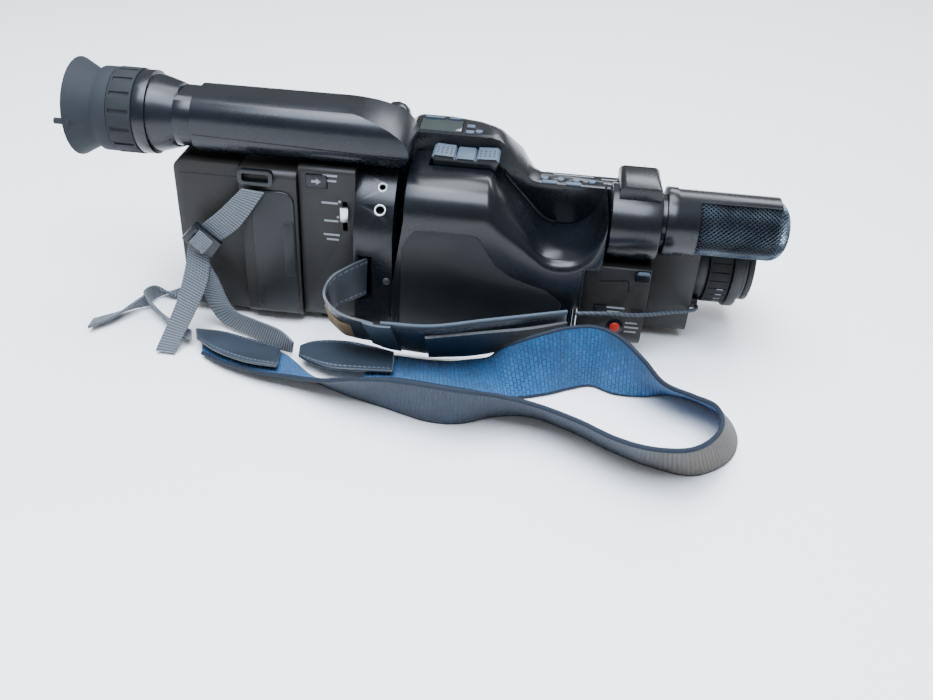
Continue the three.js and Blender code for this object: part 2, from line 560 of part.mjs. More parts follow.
function makeDeck() {
  const ys = [CHASSIS_Y, CHASSIS_Y + CHASSIS_T];
  const xs = [HOLDER_X[0] - 0.6, HOLDER_X[1] + 0.6];
  const drumHole = rod('y', DRUM_X, DRUM_Z, DRUM_R + 1, CHASSIS_Y - 1, CHASSIS_Y + 4);
  add('deck_chassis', cut(block(xs, ys, [8, 70]), drumHole), steel);
  const drum = rod('y', DRUM_X, DRUM_Z, DRUM_R, 1, CHASSIS_Y + CHASSIS_T + 1.6, LATHE);
  add('head_drum', cut(drum, rod('y', DRUM_X, DRUM_Z, 3, CHASSIS_Y + 0.5, CHASSIS_Y + 5)), chrome);
  const spindle = (x) => join(rod('y', x, REEL_Z, REEL_R, ys[1] + GAP, ys[1] + 1.2),
    rod('y', x, REEL_Z, 2.5, ys[1] + 0.5, ys[1] + 2));
  add('supply_spindle', spindle(DRUM_X - REEL_GAP / 2), mattePlastic);
  add('takeup_spindle', spindle(DRUM_X + REEL_GAP / 2), mattePlastic);
  add('main_board', block([-88, 78], [-7, -5.4], [8, 68]), board);
}

// ---- lens block and lens ------------------------------------------------------------
const LENS_BLOCK_Y = [-28, 31];
const BLOCK_Z = 6;

function makeLensBlock() {
  const xs = [FRAME_X + GAP, LENS_BLOCK_X];
  const outer = prismX(rounded(LENS_BLOCK_Y, [BLOCK_Z, BLOCK_TOP_Z], 20, [0.3, 0.5, 1, 0.3]), ...xs);
  const inner = prismX(rounded(LENS_BLOCK_Y.map((y, i) => y + (i ? -WALL : WALL)),
    [BLOCK_Z + WALL, BLOCK_TOP_Z - WALL], 17, [0.3, 0.5, 1, 0.3]), FRAME_X, xs[1] - WALL);
  const bore = rod('x', 0, LENS_Z, BARREL_R + GAP, FRAME_X, LENS_BLOCK_X + 1, LATHE);
  const micRoom = rod('x', MIC_Y, MIC_Z, MIC_R + 3, FRAME_X, LENS_BLOCK_X + 1, LATHE);
  const brow = rod('x', MIC_Y, MIC_Z, MIC_R + 3 + WALL, FRAME_X, LENS_BLOCK_X - WALL, LATHE);
  add('lens_block', cut(outer, cut(inner, brow), bore, micRoom), blackPlastic);
  add('sensor_board', block([FRAME_X + 1.2, FRAME_X + 2.8], [-15, 15], [LENS_Z - 14, LENS_Z + 14]), board);
}

function makeLens() {
  const [flange0, flange1] = [LENS_BLOCK_X + GAP, FOCUS_X[0] - GAP];
  const angle = THREE.MathUtils.degToRad(LUG_ANGLE);
  const reach = FLANGE_R + 2.6;
  const [lugY, lugZ] = [-reach * Math.cos(angle), LENS_Z - reach * Math.sin(angle)];
  const lug = rod('x', lugY, lugZ, 3.4, flange0 + 1.2, flange1 - 1.4, 16);
  const lugBore = rod('x', lugY, lugZ, 1.5, flange0, flange1, 12);
  const barrel = turned([[FRAME_X + 4, BARREL_BORE_R], [FRAME_X + 4, BARREL_R], [flange0, BARREL_R],
    [flange0, FLANGE_R], [flange1, FLANGE_R], [flange1, BARREL_R], [HOOD_X[0], BARREL_R], [HOOD_X[0], HOOD_R],
    [HOOD_X[1], HOOD_R], [HOOD_X[1], BARREL_BORE_R]], 0, LENS_Z);
  add('lens_barrel', cut(join(barrel, lug), lugBore), blackPlastic);
  add('focus_ring', turned(ringProfile(FOCUS_X, FOCUS_R, BARREL_R + GAP), 0, LENS_Z), rubber);
  add('zoom_ring', turned(ringProfile(ZOOM_X, ZOOM_R, BARREL_R + GAP), 0, LENS_Z), blackPlastic);
  add('front_glass', rod('x', 0, LENS_Z, GLASS_R, HOOD_X[0] - 8, HOOD_X[0] - 5, LATHE), glass);
  const capX = [HOOD_X[1] + GAP, HOOD_X[1] + GAP + CAP_T];
  add('lens_cap', rod('x', 0, LENS_Z, HOOD_R, ...capX, LATHE), blackPlastic);
}

// ---- microphone ---------------------------------------------------------------------
function makeMic() {
  const [x0, x1] = MIC_HOLDER_X;
  const holder = rod('x', MIC_Y, MIC_HOLDER_Z, MIC_HOLDER_R, x0, x1, LATHE);
  const bore = rod('x', MIC_Y, MIC_Z, MIC_NECK_R + GAP, x0 + 6, x1 + 1);
  add('mic_holder', cut(holder, bore), blackPlastic);

  const neck = rod('x', MIC_Y, MIC_Z, MIC_NECK_R, x0 + 7, MIC_X[0] + 1);
  const window = [MIC_X[0] + MIC_COLLAR, MIC_X[1]];
  const rear = join(neck, rod('x', MIC_Y, MIC_Z, MIC_R + 1.8, MIC_X[0], MIC_X[0] + 5, LATHE),
    rod('x', MIC_Y, MIC_Z, MIC_R + 1.2, MIC_X[0] + 4, window[0], LATHE));
  const band = cut(turned(ringProfile([window[0] - 1, MIC_X[1] - 6], MIC_R + 1.2, MIC_R + GAP), MIC_Y, MIC_Z),
    block(window, [MIC_Y - 30, MIC_Y - 6], [MIC_Z - 30, MIC_Z + 30]),
    block(window, [MIC_Y + 6, MIC_Y + 30], [MIC_Z - 30, MIC_Z + 30]),
    block(window, [MIC_Y - 30, MIC_Y + 30], [MIC_Z - 30, MIC_Z]));
  add('mic_frame', join(rear, band), blackPlastic);
  const g0 = window[0] + GAP;
  const g1 = MIC_X[1];
  add('mic_grille', turned([[g0, MIC_R - 1.2], [g0, MIC_R], [g1 - 9, MIC_R], [g1 - 3.5, MIC_R - 3], [g1, MIC_R - 9],
    [g1, 0], [g1 - 1.5, 0], [g1 - 1.5, MIC_R - 10], [g1 - 5, MIC_R - 4.4], [g1 - 9.4, MIC_R - 1.2]],
  MIC_Y, MIC_Z), steel);

  const shoe = prismY(rounded(SHOE_X, [MIC_HOLDER_Z, SHOE_TOP_Z], 3, [0, 0, 1, 1]), ...SHOE_Y);
  add('shoe_block', cut(shoe, rod('x', MIC_Y, MIC_HOLDER_Z, MIC_HOLDER_R + GAP, x0 - 1, x1 + 1, LATHE),
    block([x0, x1 + 1], [SHOE_Y[0] - 1, SHOE_Y[1] + 1], [MIC_HOLDER_Z - 1, 80])), blackPlastic);
}

// ---- viewfinder ---------------------------------------------------------------------
function makeViewfinder() {
  const arc = VF_H / 2;
  const side = new THREE.Shape();
  side.moveTo(VF_REAR_X, VF_Z - arc).lineTo(PIVOT_X, VF_Z - arc);
  side.quadraticCurveTo(PIVOT_X + 8.5, VF_Z - arc + 0.4, PIVOT_X + 11.5, VF_Z - 5.5);
  side.quadraticCurveTo(PIVOT_X + 12, VF_Z + 2, PIVOT_X + 2, VF_Z + 7);
  side.quadraticCurveTo(PIVOT_X - 10, VF_Z + arc - 1.4, PIVOT_X - 28, VF_Z + arc);
  side.lineTo(VF_REAR_X, VF_Z + arc);
  const ys = [VF_Y - VF_W / 2, VF_Y + VF_W / 2];
  const zs = [VF_Z - arc, VF_Z + arc];
  const outer = prismY(side, ...ys).intersect(prismX(rounded(ys, zs, VF_CORNER_R), VF_REAR_X, PIVOT_X + arc));
  const inner = prismX(rounded(ys.map((y, i) => y + (i ? -WALL : WALL)), zs.map((z, i) => z + (i ? -WALL : WALL)),
    VF_CORNER_R - WALL), VF_REAR_X - 1, PIVOT_X - arc);
  const pinHole = rod('y', PIVOT_X, VF_Z, PIVOT_R + GAP, VF_Y, VF_Y + VF_W);
  add('viewfinder_tube', cut(outer, inner, pinHole), satinBlue);
  add('viewfinder_display', block([VF_REAR_X + 14, PIVOT_X - arc - 8], [VF_Y - 10, VF_Y + 10],
    [VF_Z - 8, VF_Z + 8]), mattePlastic);

  const cheek = new THREE.Shape();
  cheek.moveTo(PIVOT_X - 9, PLATEAU_Z + GAP).lineTo(PIVOT_X + 2.5, PLATEAU_Z + GAP);
  cheek.lineTo(PIVOT_X + 6, VF_Z - 5);
  cheek.absarc(PIVOT_X, VF_Z, 7, -0.5, Math.PI + 0.3);
  const pin = rod('y', PIVOT_X, VF_Z, PIVOT_R, VF_Y + 4, BRACKET_Y[0] + 1);
  add('viewfinder_bracket', join(prismY(cheek, ...BRACKET_Y), pin), blackPlastic);

  const collar = prismX(rounded(ys.map((y, i) => y + (i ? -1.5 : 1.5)), zs.map((z, i) => z + (i ? -1 : 1)), VF_CORNER_R),
    ...COLLAR_X);
  const [r0, r1] = FRONT_RING_X;
  const [n0, n1] = NECK_X;
  const housing = turned([[r0, EYE_BORE_R + 1], [r0, EYE_R - 0.5], [r1, EYE_R - 0.5], [r1, 18], [n0 + 3, 18],
    [n1, 15.5], [COLLAR_X[0] + 1, 15], [COLLAR_X[0] + 1, EYE_BORE_R - 2], [r0 + 5, EYE_BORE_R - 2],
    [r0 + 5, EYE_BORE_R + 1]], VF_Y, VF_Z);
  const sight = rod('x', VF_Y, VF_Z, EYE_BORE_R - 2, COLLAR_X[0] - 1, COLLAR_X[1] + 1);
  add('eyepiece_housing', join(cut(collar, sight), housing), satinBlue);
  add('eyepiece_lens', rod('x', VF_Y, VF_Z, EYE_BORE_R, FRONT_RING_X[0] + 1, FRONT_RING_X[0] + 4), glass);
  add('dioptre_ring', turned(ringProfile(DIOPTRE_X, EYE_R, EYE_BORE_R), VF_Y, VF_Z), rubber);

  const [e0, e1] = EYECUP_X;
  const [c0, c1] = REAR_RING_X;
  const cup = turned([[c1, EYE_BORE_R], [c1, EYE_R - 0.3], [c0, EYE_R - 0.3], [e1, EYE_R - 2.5], [e1 - 3, EYE_R - 2.5],
    [e0, EYE_R + 3], [e0, EYE_R + 1], [e1 - 2, EYE_R - 5], [e1, EYE_BORE_R]], VF_Y, VF_Z);
  const tab = rod('x', VF_Y - EYE_R - 0.5, VF_Z, 1.5, e0 - 4.5, e0 + 3, 12);
  add('eyecup', join(cup, tab), rubber);
}

// ---- carrying loops and straps ------------------------------------------------------
const LOOP_X = [-119, -102];
const LOOP_Z = [REAR_TOP_Z - 7, REAR_TOP_Z + 1];

function makeLoop(name, y0, y1) {
  const outer = prismY(rounded(LOOP_X, LOOP_Z, 2.5), y0, y1);
  const slot = prismY(rounded([LOOP_X[0] + 2, LOOP_X[1] - 2], [LOOP_Z[0] + 2, LOOP_Z[1] - 2], 1), y0 - 1, y1 + 1);
  add(name, cut(outer, slot), blackPlastic);
}

function makeHandStrap() {
  add('hand_strap_band', ribbon(
    [[-56.6, -50.5, 46.4], [-63, -60, 46.8], [-71, -68, 43.6], [-73, -74, 37.8], [-65, -82, 33.8], [-47, -88, 33]],
    [[-57.4, -50.5, 25.4], [-64, -58.5, 25.8], [-70.6, -63, 23.4], [-71.4, -66.4, 18.6], [-63, -69, 13], [-45, -70, 11]],
    WEBBING_T, 18), vinyl);
  add('hand_strap_pad', ribbon(
    [[-43, -89, 34.5], [-20, -90, 36], [5, -82, 37], [25, -73.5, 36.5], [43.5, -64, 35]],
    [[-41, -65.5, 5.5], [-20, -66, 5], [0, -64.5, 7], [20, -63.5, 14], [44, -62.2, 22]],
    4, 16), vinyl);
  add('hand_strap_flap', ribbon(
    [[-22, -89.2, 29], [5, -82, 30.4], [26, -75.2, 30.7], [44, -67, 31]],
    [[-22, -71.4, 6], [0, -69, 8], [20, -67.6, 14], [44, -66, 23]],
    1.4, 12), vinyl);
}

function makeShoulderStrap() {
  const legRight = ribbon(
    [[-117, -50, REAR_TOP_Z - 8.6], [-129, -51, 65], [-141.5, -51.5, 53], [-146.5, -52, 43], [-143, -53, 30], [-139, -55, 17],
      [-132, -56.5, 5], [-116, -62.6, 1.8], [-100.3, -70.9, 1.8], [-90, -75, 2.6]],
    [[-106, -50, REAR_TOP_Z - 9.6], [-119.5, -51.5, 57.5], [-132.5, -52, 46], [-136, -52.5, 38], [-131.5, -54, 27],
      [-127.5, -55.5, 17], [-123, -58.5, 13], [-111, -64.6, 12.8], [-96.5, -71.6, 12.8], [-88, -79, 11.5]],
    WEBBING_T, 34);
  const tailRight = ribbon(
    [[-146.4, -52, 44], [-147, -56, 36], [-150, -66, 20.6], [-156.5, -84, 1.8]],
    [[-135.8, -52.4, 40], [-136, -56.6, 30], [-140.6, -66, 15.8], [-147.3, -84, 1.4]],
    WEBBING_T, 14);
  add('strap_webbing_right', join(legRight, tailRight), webbing);
  const plate = [[-147.5, 51], [-139.5, 60], [-127.5, 49.5], [-133, 41], [-141, 43]];
  add('strap_buckle_right', prismY(plate, -56.2, -53.2), blackPlastic);
  add('strap_tab_right', ribbon(
    [[-86.5, -73.5, 5.6], [-81, -67.5, 5], [-66.3, -63.5, 4.4], [-53, -65, 4.2], [-39.5, -69.1, 4.4]],
    [[-84.5, -84, 7.4], [-77.5, -88, 7.4], [-67, -93, 8.4], [-51.2, -95, 10.4], [-35.6, -97.5, 13.4]],
    TAB_T, 12), vinyl);
  add('strap_wide', ribbon(
    [[-52, -66, 1.3], [-38.6, -68.7, 1.3], [-14, -69.7, 1.4], [-1, -67, 2.4], [7.6, -69.5, 6.6], [15.7, -76, 18.6],
      [31, -79, 29.6], [46, -72.6, 31.5], [58, -71, 32], [68.7, -77.2, 31.8], [79.7, -89, 28.6], [89.8, -97, 22],
      [103.4, -102, 20], [111.5, -110, 22], [113, -122.7, 23.8], [108, -137, 25.4], [96, -149, 27],
      [80, -149.5, 26], [66, -144.2, 25], [49.6, -133, 23.8], [31, -124, 23], [15.7, -123.2, 25], [-1, -127, 28.6],
      [-14, -126.4, 29], [-33.6, -121, 26], [-50, -117.5, 22], [-68, -110.5, 14], [-84, -104, 9.5],
      [-101, -99.4, 6.8], [-120.6, -91.6, 4.8], [-133, -83, 2.6]],
    [[-49.5, -96, 6.4], [-34.8, -98.3, 9.6], [-9.9, -99, 8.6], [4.7, -96.2, 5.3], [12.8, -94, 2.4],
      [20.9, -92, 1.3], [36.6, -86, 1.3], [49, -79, 1.3], [59, -75, 1.3], [70, -79.6, 1.3], [83, -79.6, 1.3],
      [96.6, -76, 1.3], [112, -80, 1.3], [122.5, -91, 1.3], [125.4, -106, 1.3], [119.5, -122, 1.3],
      [103.4, -133.5, 1.3], [84.6, -130.4, 1.3], [68.4, -123, 1.3], [49.4, -111.6, 1.3], [30, -104, 1.3],
      [14, -106.5, 1.3], [-1.8, -114.2, 1.3], [-15.6, -115.2, 1.3], [-38.2, -108, 1.3], [-56, -102, 1.3],
      [-76, -92.5, 1.3], [-94.4, -76.5, 1.3], [-111.2, -70.8, 1.3], [-127.4, -66.4, 1.3], [-138, -69, 1.3]],
    STRAP_T, 96), blueWeave);
  add('strap_tab_left', ribbon(
    [[-90, -101, 12.2], [-106, -98, 11], [-123.5, -90, 9.8], [-137, -78.5, 8]],
    [[-95.5, -74.5, 4.6], [-111, -70.6, 4.4], [-127, -66.6, 4.9], [-141.5, -67.6, 5.6]],
    TAB_T, 12), vinyl);
  const legLeft = ribbon(
    [[-143.5, -68, 5], [-153, -60.5, 2], [-162, -53.5, 1.4], [-171, -47.5, 1.4], [-175.4, -41.5, 1.4], [-173, -33.5, 1.3],
      [-166, -25, 1.1], [-157, -15, 0.9], [-147.5, -4, 0.9], [-140, 14, 0.9], [-136, LEFT_Y - 8, 0.9],
      [-134.5, LEFT_Y + 3, 2.8], [-132, LEFT_Y + 6, 14], [-125, LEFT_Y + 5.5, 45], [-117, LEFT_Y + 3, REAR_TOP_Z - 9.6]],
    [[-140.5, -77, 5.4], [-151, -70, 4.6], [-162, -59.5, 7.5], [-171.5, -51, 9.4], [-176.6, -43.5, 10], [-174, -36, 9],
      [-163, -34.5, 2.4], [-150.5, -25.5, 1], [-137.5, -10.5, 0.9], [-128.5, 11, 0.9], [-124, LEFT_Y - 9, 0.9],
      [-122.5, LEFT_Y + 3, 2.8], [-120, LEFT_Y + 6, 14], [-113, LEFT_Y + 5.5, 45], [-105, LEFT_Y + 3, REAR_TOP_Z - 9.6]],
    WEBBING_T, 48);
  const tailLeft = ribbon(
    [[-174.3, -43.4, 1.5], [-181, -47, 1.5], [-188, -53, 1.3], [-198, -61.5, 1.3]],
    [[-175.4, -46, 9.3], [-180.5, -53.6, 7], [-186.5, -63, 4.6], [-195.5, -73, 3.8]],
    WEBBING_T, 12);
  add('strap_webbing_left', join(legLeft, tailLeft), webbing);
}

const LEASH_R = 1;
const LEASH = [[47.6, -65.4, 35.4], [56, -65, 36], [66, -61, 34.5], [77, -54, 30.5], [88, -45.5, 27], [98, -38, 24.6],
  [106, -32.5, 22.6], [110.4, -27.6, 20.8], [112.4, -23, 19.4], [112.6, -19.9, 18.8]];

// ---- assembly -----------------------------------------------------------------------
makeBase();
makeRear();
makeLabelWall();
makeJackPanel();
makeGrip();
makeRocker();
makeStrapBar();
makeFrontPanel();
makeTopCover();
makeLeftCover();
makeHolder();
makeDeck();
makeLensBlock();
makeLens();
makeMic();
makeViewfinder();
makeLoop('strap_loop_right', REAR_Y - 2.8, REAR_Y - GAP);
makeLoop('strap_loop_left', LEFT_Y - 2 + GAP, LEFT_Y + 0.5);
makeHandStrap();
makeShoulderStrap();
add('cap_leash', cord(LEASH, LEASH_R, 30), webbing);

export default group;
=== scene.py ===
"""Looks of the shoulder-strap video camera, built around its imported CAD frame. Metres, +Z up."""
import json
import math

import bpy
from mathutils import Matrix, Vector


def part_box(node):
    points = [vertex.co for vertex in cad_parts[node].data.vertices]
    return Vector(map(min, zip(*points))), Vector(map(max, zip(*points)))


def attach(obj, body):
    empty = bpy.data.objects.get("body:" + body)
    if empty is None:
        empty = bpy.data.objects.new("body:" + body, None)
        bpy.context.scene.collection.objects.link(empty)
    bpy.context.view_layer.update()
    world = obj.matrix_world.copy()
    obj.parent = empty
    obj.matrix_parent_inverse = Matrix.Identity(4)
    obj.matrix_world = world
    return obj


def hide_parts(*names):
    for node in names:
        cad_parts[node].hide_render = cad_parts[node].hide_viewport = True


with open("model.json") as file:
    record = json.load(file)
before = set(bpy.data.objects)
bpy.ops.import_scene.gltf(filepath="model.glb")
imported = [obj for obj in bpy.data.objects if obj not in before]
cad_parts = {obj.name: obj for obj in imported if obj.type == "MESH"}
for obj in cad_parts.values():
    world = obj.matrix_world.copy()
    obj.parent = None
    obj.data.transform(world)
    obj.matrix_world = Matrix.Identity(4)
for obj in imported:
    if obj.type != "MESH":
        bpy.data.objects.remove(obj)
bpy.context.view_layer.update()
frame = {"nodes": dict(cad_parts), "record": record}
MM = 0.001

# ---- view -----------------------------------------------------------------------------
# The camera that looks down on the grip side, a little over half a metre away.
view_camera = bpy.data.objects.new("view_camera", bpy.data.cameras.new("view_camera"))
view_camera.data.lens = 36.66
view_camera.data.sensor_width = 36
view_right = Vector((0.9938, 0.0987, 0.0515))
view_up = Vector((-0.0994, 0.5630, 0.8208))
view_back = view_right.cross(view_up).normalized()
view_up = view_back.cross(view_right)
view_camera.matrix_world = Matrix.Translation((0.021, -0.455, 0.278)) @ Matrix(
    (view_right, view_up, view_back)).transposed().to_4x4()
bpy.context.scene.collection.objects.link(view_camera)
bpy.context.scene.camera = view_camera


# ---- studio ---------------------------------------------------------------------------
# A pale table under a wide overhead light, with a ceiling light behind it and a weak light
# from the far side. The overhead light draws the long cool highlights along the shoulders.
def linear(hex_colour):
    """An sRGB hex colour as the linear colour that a shader takes."""
    shares = [int(hex_colour[i:i + 2], 16) / 255 for i in (1, 3, 5)]
    return [s / 12.92 if s <= 0.04045 else ((s + 0.055) / 1.055) ** 2.4 for s in shares] + [1.0]


def feed(tree, node, inputs):
    """Links or sets a node's inputs by their names."""
    for socket, value in dict(inputs).items():
        if isinstance(value, bpy.types.NodeSocket):
            tree.links.new(value, node.inputs[socket])
        else:
            node.inputs[socket].default_value = value


def add_node(tree, kind, inputs=(), **settings):
    """A shader node with its settings, its values and the sockets that feed it."""
    node = tree.nodes.new("ShaderNode" + kind)
    for name, value in settings.items():
        setattr(node, name, value)
    feed(tree, node, inputs)
    return node


def set_ramp(ramp, low, high):
    """Sets the two stops of a colour ramp, each a place and an sRGB hex colour."""
    for stop, (place, colour) in zip(ramp.color_ramp.elements, (low, high)):
        stop.position = place
        stop.color = linear(colour)


def start_material(name):
    """A new material, its node tree, and its places on the object and in its UV map."""
    material = bpy.data.materials.new(name)
    material.use_nodes = True
    tree = material.node_tree
    sockets = add_node(tree, "TexCoord").outputs
    return material, tree, sockets["Object"], sockets["UV"]


def finish_material(material, inputs):
    """Feeds the material's shader, by the names of its inputs."""
    feed(material.node_tree, material.node_tree.nodes["Principled BSDF"], inputs)
    return material


def area_light(name, place, aim, size, watts, colour):
    lamp = bpy.data.lights.new(name, "AREA")
    lamp.shape = "RECTANGLE"
    lamp.size, lamp.size_y = size
    lamp.energy = watts
    lamp.color = linear(colour)[:3]
    holder = bpy.data.objects.new(name, lamp)
    holder.location = place
    holder.rotation_euler = (Vector(aim) - Vector(place)).to_track_quat("-Z", "Y").to_euler()
    bpy.context.scene.collection.objects.link(holder)


area_light("overhead", (-0.05, -0.4, 0.95), (0.0, -0.03, 0.04), (0.9, 0.56), 27, "#e2edff")
area_light("ceiling", (-0.1, 0.15, 1.3), (0, 0, 0), (1.2, 0.7), 28, "#f2f6ff")
area_light("back_edge", (0.5, 1.0, 0.8), (0, 0, 0.05), (0.9, 0.4), 9, "#eef4ff")

world = bpy.data.worlds.new("studio")
bpy.context.scene.world = world
world.use_nodes = True
sky = world.node_tree
sky_way = add_node(sky, "TexCoord").outputs["Generated"]
sky_height = add_node(sky, "SeparateXYZ", {"Vector": sky_way})
sky_tone = add_node(sky, "ValToRGB", {"Fac": sky_height.outputs["Z"]})
set_ramp(sky_tone, (0.15, "#98958f"), (0.8, "#f6f9ff"))
feed(sky, sky.nodes["Background"], {"Color": sky_tone.outputs["Color"], "Strength": 0.7})

TABLE_WIDTH = 30  # metres, so that its edge lies close to the horizon in a low view
bpy.ops.mesh.primitive_plane_add(size=TABLE_WIDTH)
table_top = bpy.context.object
table_top.name = "table_top"
painted_board = bpy.data.materials.new("pale_painted_board")
painted_board.use_nodes = True
finish_material(painted_board, {"Base Color": linear("#fbfbfa"), "Roughness": 0.75})
table_top.data.materials.append(painted_board)


# ---- cap leash ------------------------------------------------------------------------
# A limp braided nylon cord, 2 mm thick, from the ring of the hand strap's front fixing to
# the lug under the lens. It sags between its two ends.
def fibre_cord(name, dark, pale, pitch_mm):
    """Braided nylon: matt fibre with a fine twist that catches the light in short dashes."""
    material, tree, place, _ = start_material(name)
    twist = add_node(tree, "TexWave", {"Vector": place, "Scale": 1 / (pitch_mm * MM) / 6.28,
                                       "Distortion": 3.0, "Detail": 2.0}, bands_direction="DIAGONAL")
    colour = add_node(tree, "Mix", {"Factor": twist.outputs["Fac"], "A": linear(dark), "B": linear(pale)},
                      data_type="RGBA")
    bump = add_node(tree, "Bump", {"Height": twist.outputs["Fac"], "Distance": 0.15 * MM, "Strength": 0.6})
    return finish_material(material, {"Roughness": 0.75, "Base Color": colour.outputs["Result"],
                                      "Normal": bump.outputs["Normal"]})


LEASH_ROUTE = [(47.6, -65.4, 35.4), (56, -65, 36), (66, -61, 34.5), (77, -54, 30.5), (88, -45.5, 27),
               (98, -38, 24.6), (106, -32.5, 22.6), (110.4, -27.6, 20.8), (112.4, -23, 19.4),
               (112.6, -19.9, 18.8)]


def spline_point(points, share):
    """A point on the centripetal curve through the points, at a share of its parameter."""
    place = share * (len(points) - 1)
    i = min(int(place), len(points) - 2)
    t = place - i
    p1, p2 = Vector(points[i]), Vector(points[i + 1])
    p0 = Vector(points[i - 1]) if i > 0 else 2 * p1 - p2
    p3 = Vector(points[i + 2]) if i + 2 < len(points) else 2 * p2 - p1
    d0, d1, d2 = [max((b - a).length, 1e-6) ** 0.5 for a, b in ((p0, p1), (p1, p2), (p2, p3))]
    m1 = ((p1 - p0) / d0 - (p2 - p0) / (d0 + d1) + (p2 - p1) / d1) * d1
    m2 = ((p2 - p1) / d1 - (p3 - p1) / (d1 + d2) + (p3 - p2) / d2) * d1
    return (p1 + m1 * t + (3 * (p2 - p1) - 2 * m1 - m2) * t * t + (2 * (p1 - p2) + m1 + m2) * t ** 3)


LEASH_STEPS = 27
leash_points = [spline_point(LEASH_ROUTE, i / LEASH_STEPS) * MM for i in range(LEASH_STEPS + 1)]
leash_curve = bpy.data.curves.new("cap_leash_cord", "CURVE")
leash_curve.dimensions = "3D"
leash_curve.bevel_depth = 1.0 * MM
leash_curve.bevel_resolution = 3
leash_curve.use_fill_caps = True
leash_spline = leash_curve.splines.new("POLY")
leash_spline.points.add(len(leash_points) - 1)
for point, place in zip(leash_spline.points, leash_points):
    point.co = (*place, 1)
cap_leash_cord = bpy.data.objects.new("cap_leash_cord", leash_curve)
bpy.context.scene.collection.objects.link(cap_leash_cord)
cap_leash_cord.data.materials.append(fibre_cord("braided_nylon_cord", "#22272c", "#3d454d", 0.9))
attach(cap_leash_cord, "body")
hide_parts("cap_leash")


# ---- moulded covers -------------------------------------------------------------------
# The covers are injection-moulded ABS, black through and spark-textured in the tool, with
# rounded edges where two shells meet and a thin shadow gap between them.
def moulded_plastic(name, dark, pale, roughness, grain_mm, grain_depth_mm, patch_mm=30.0, spread=0.12):
    """Moulded ABS: fine even grain in the bump, faint patches of handling wear in colour and gloss."""
    material, tree, place, _ = start_material(name)
    grain = add_node(tree, "TexNoise", {"Vector": place, "Scale": 1 / (grain_mm * MM), "Detail": 2.0,
                                        "Roughness": 0.6})
    patches = add_node(tree, "TexNoise", {"Vector": place, "Scale": 1 / (patch_mm * MM), "Detail": 5.0,
                                          "Roughness": 0.65})
    colour = add_node(tree, "Mix", {"Factor": patches.outputs["Fac"], "A": linear(dark), "B": linear(pale)},
                      data_type="RGBA")
    gloss = add_node(tree, "MapRange", {"Value": patches.outputs["Fac"], "From Min": 0.3, "From Max": 0.7,
                                        "To Min": roughness - spread / 2, "To Max": roughness + spread / 2})
    bump = add_node(tree, "Bump", {"Height": grain.outputs["Fac"], "Distance": grain_depth_mm * MM,
                                   "Strength": 0.5})
    return finish_material(material, {"IOR": 1.42, "Base Color": colour.outputs["Result"],
                                      "Roughness": gloss.outputs["Result"], "Normal": bump.outputs["Normal"]})


textured_abs = moulded_plastic("spark_textured_black_abs", "#0a0d0e", "#13171a", 0.44, 0.7, 0.05)
polished_abs = moulded_plastic("polished_black_abs", "#06080b", "#0e1318", 0.26, 1.2, 0.015, spread=0.08)
side_abs = moulded_plastic("coarse_matt_black_abs", "#12110f", "#1c1a17", 0.52, 0.9, 0.08)

BODY_OF = {node: body for body, nodes in frame["record"]["behaviour"]["bodies"].items() for node in nodes}


def settle(piece, body="body", material=None):
    """Gives a finished piece its material and the body that it rides on."""
    if material:
        piece.data.materials.clear()
        piece.data.materials.append(material)
    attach(piece, body)
    return piece


def apply_modifier(piece, kind, **settings):
    """Adds one modifier with its settings and applies it."""
    modifier = piece.modifiers.new(kind.lower(), kind)
    for name, value in settings.items():
        setattr(modifier, name, value)
    bpy.context.view_layer.objects.active = piece
    bpy.ops.object.modifier_apply(modifier=modifier.name)


def smooth(piece, degrees=35):
    bpy.ops.object.select_all(action="DESELECT")
    piece.select_set(True)
    bpy.context.view_layer.objects.active = piece
    bpy.ops.object.shade_smooth_by_angle(angle=math.radians(degrees))


WELD_MM, FLAT_DEGREES = 0.004, 0.6


def moulded_copy(node, name, material, radius_mm, steps=2, edge_degrees=34, smooth_degrees=40):
    """A merged copy of a CAD node with its hard edges rounded, which stands for that node."""
    bpy.ops.object.select_all(action="DESELECT")
    piece = bpy.data.objects.new(name, frame["nodes"][node].data.copy())
    piece.data.name = name
    bpy.context.scene.collection.objects.link(piece)
    piece.select_set(True)
    bpy.context.view_layer.objects.active = piece
    bpy.ops.object.mode_set(mode="EDIT")
    bpy.ops.mesh.select_all(action="SELECT")
    bpy.ops.mesh.remove_doubles(threshold=WELD_MM * MM)
    bpy.ops.mesh.dissolve_limited(angle_limit=math.radians(FLAT_DEGREES))
    bpy.ops.mesh.customdata_custom_splitnormals_clear()
    bpy.ops.object.mode_set(mode="OBJECT")
    if radius_mm:
        apply_modifier(piece, "BEVEL", width=radius_mm * MM, segments=steps, limit_method="ANGLE",
                       angle_limit=math.radians(edge_degrees), use_clamp_overlap=True, harden_normals=False)
    smooth(piece, smooth_degrees)
    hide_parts(node)
    return settle(piece, BODY_OF[node], material)


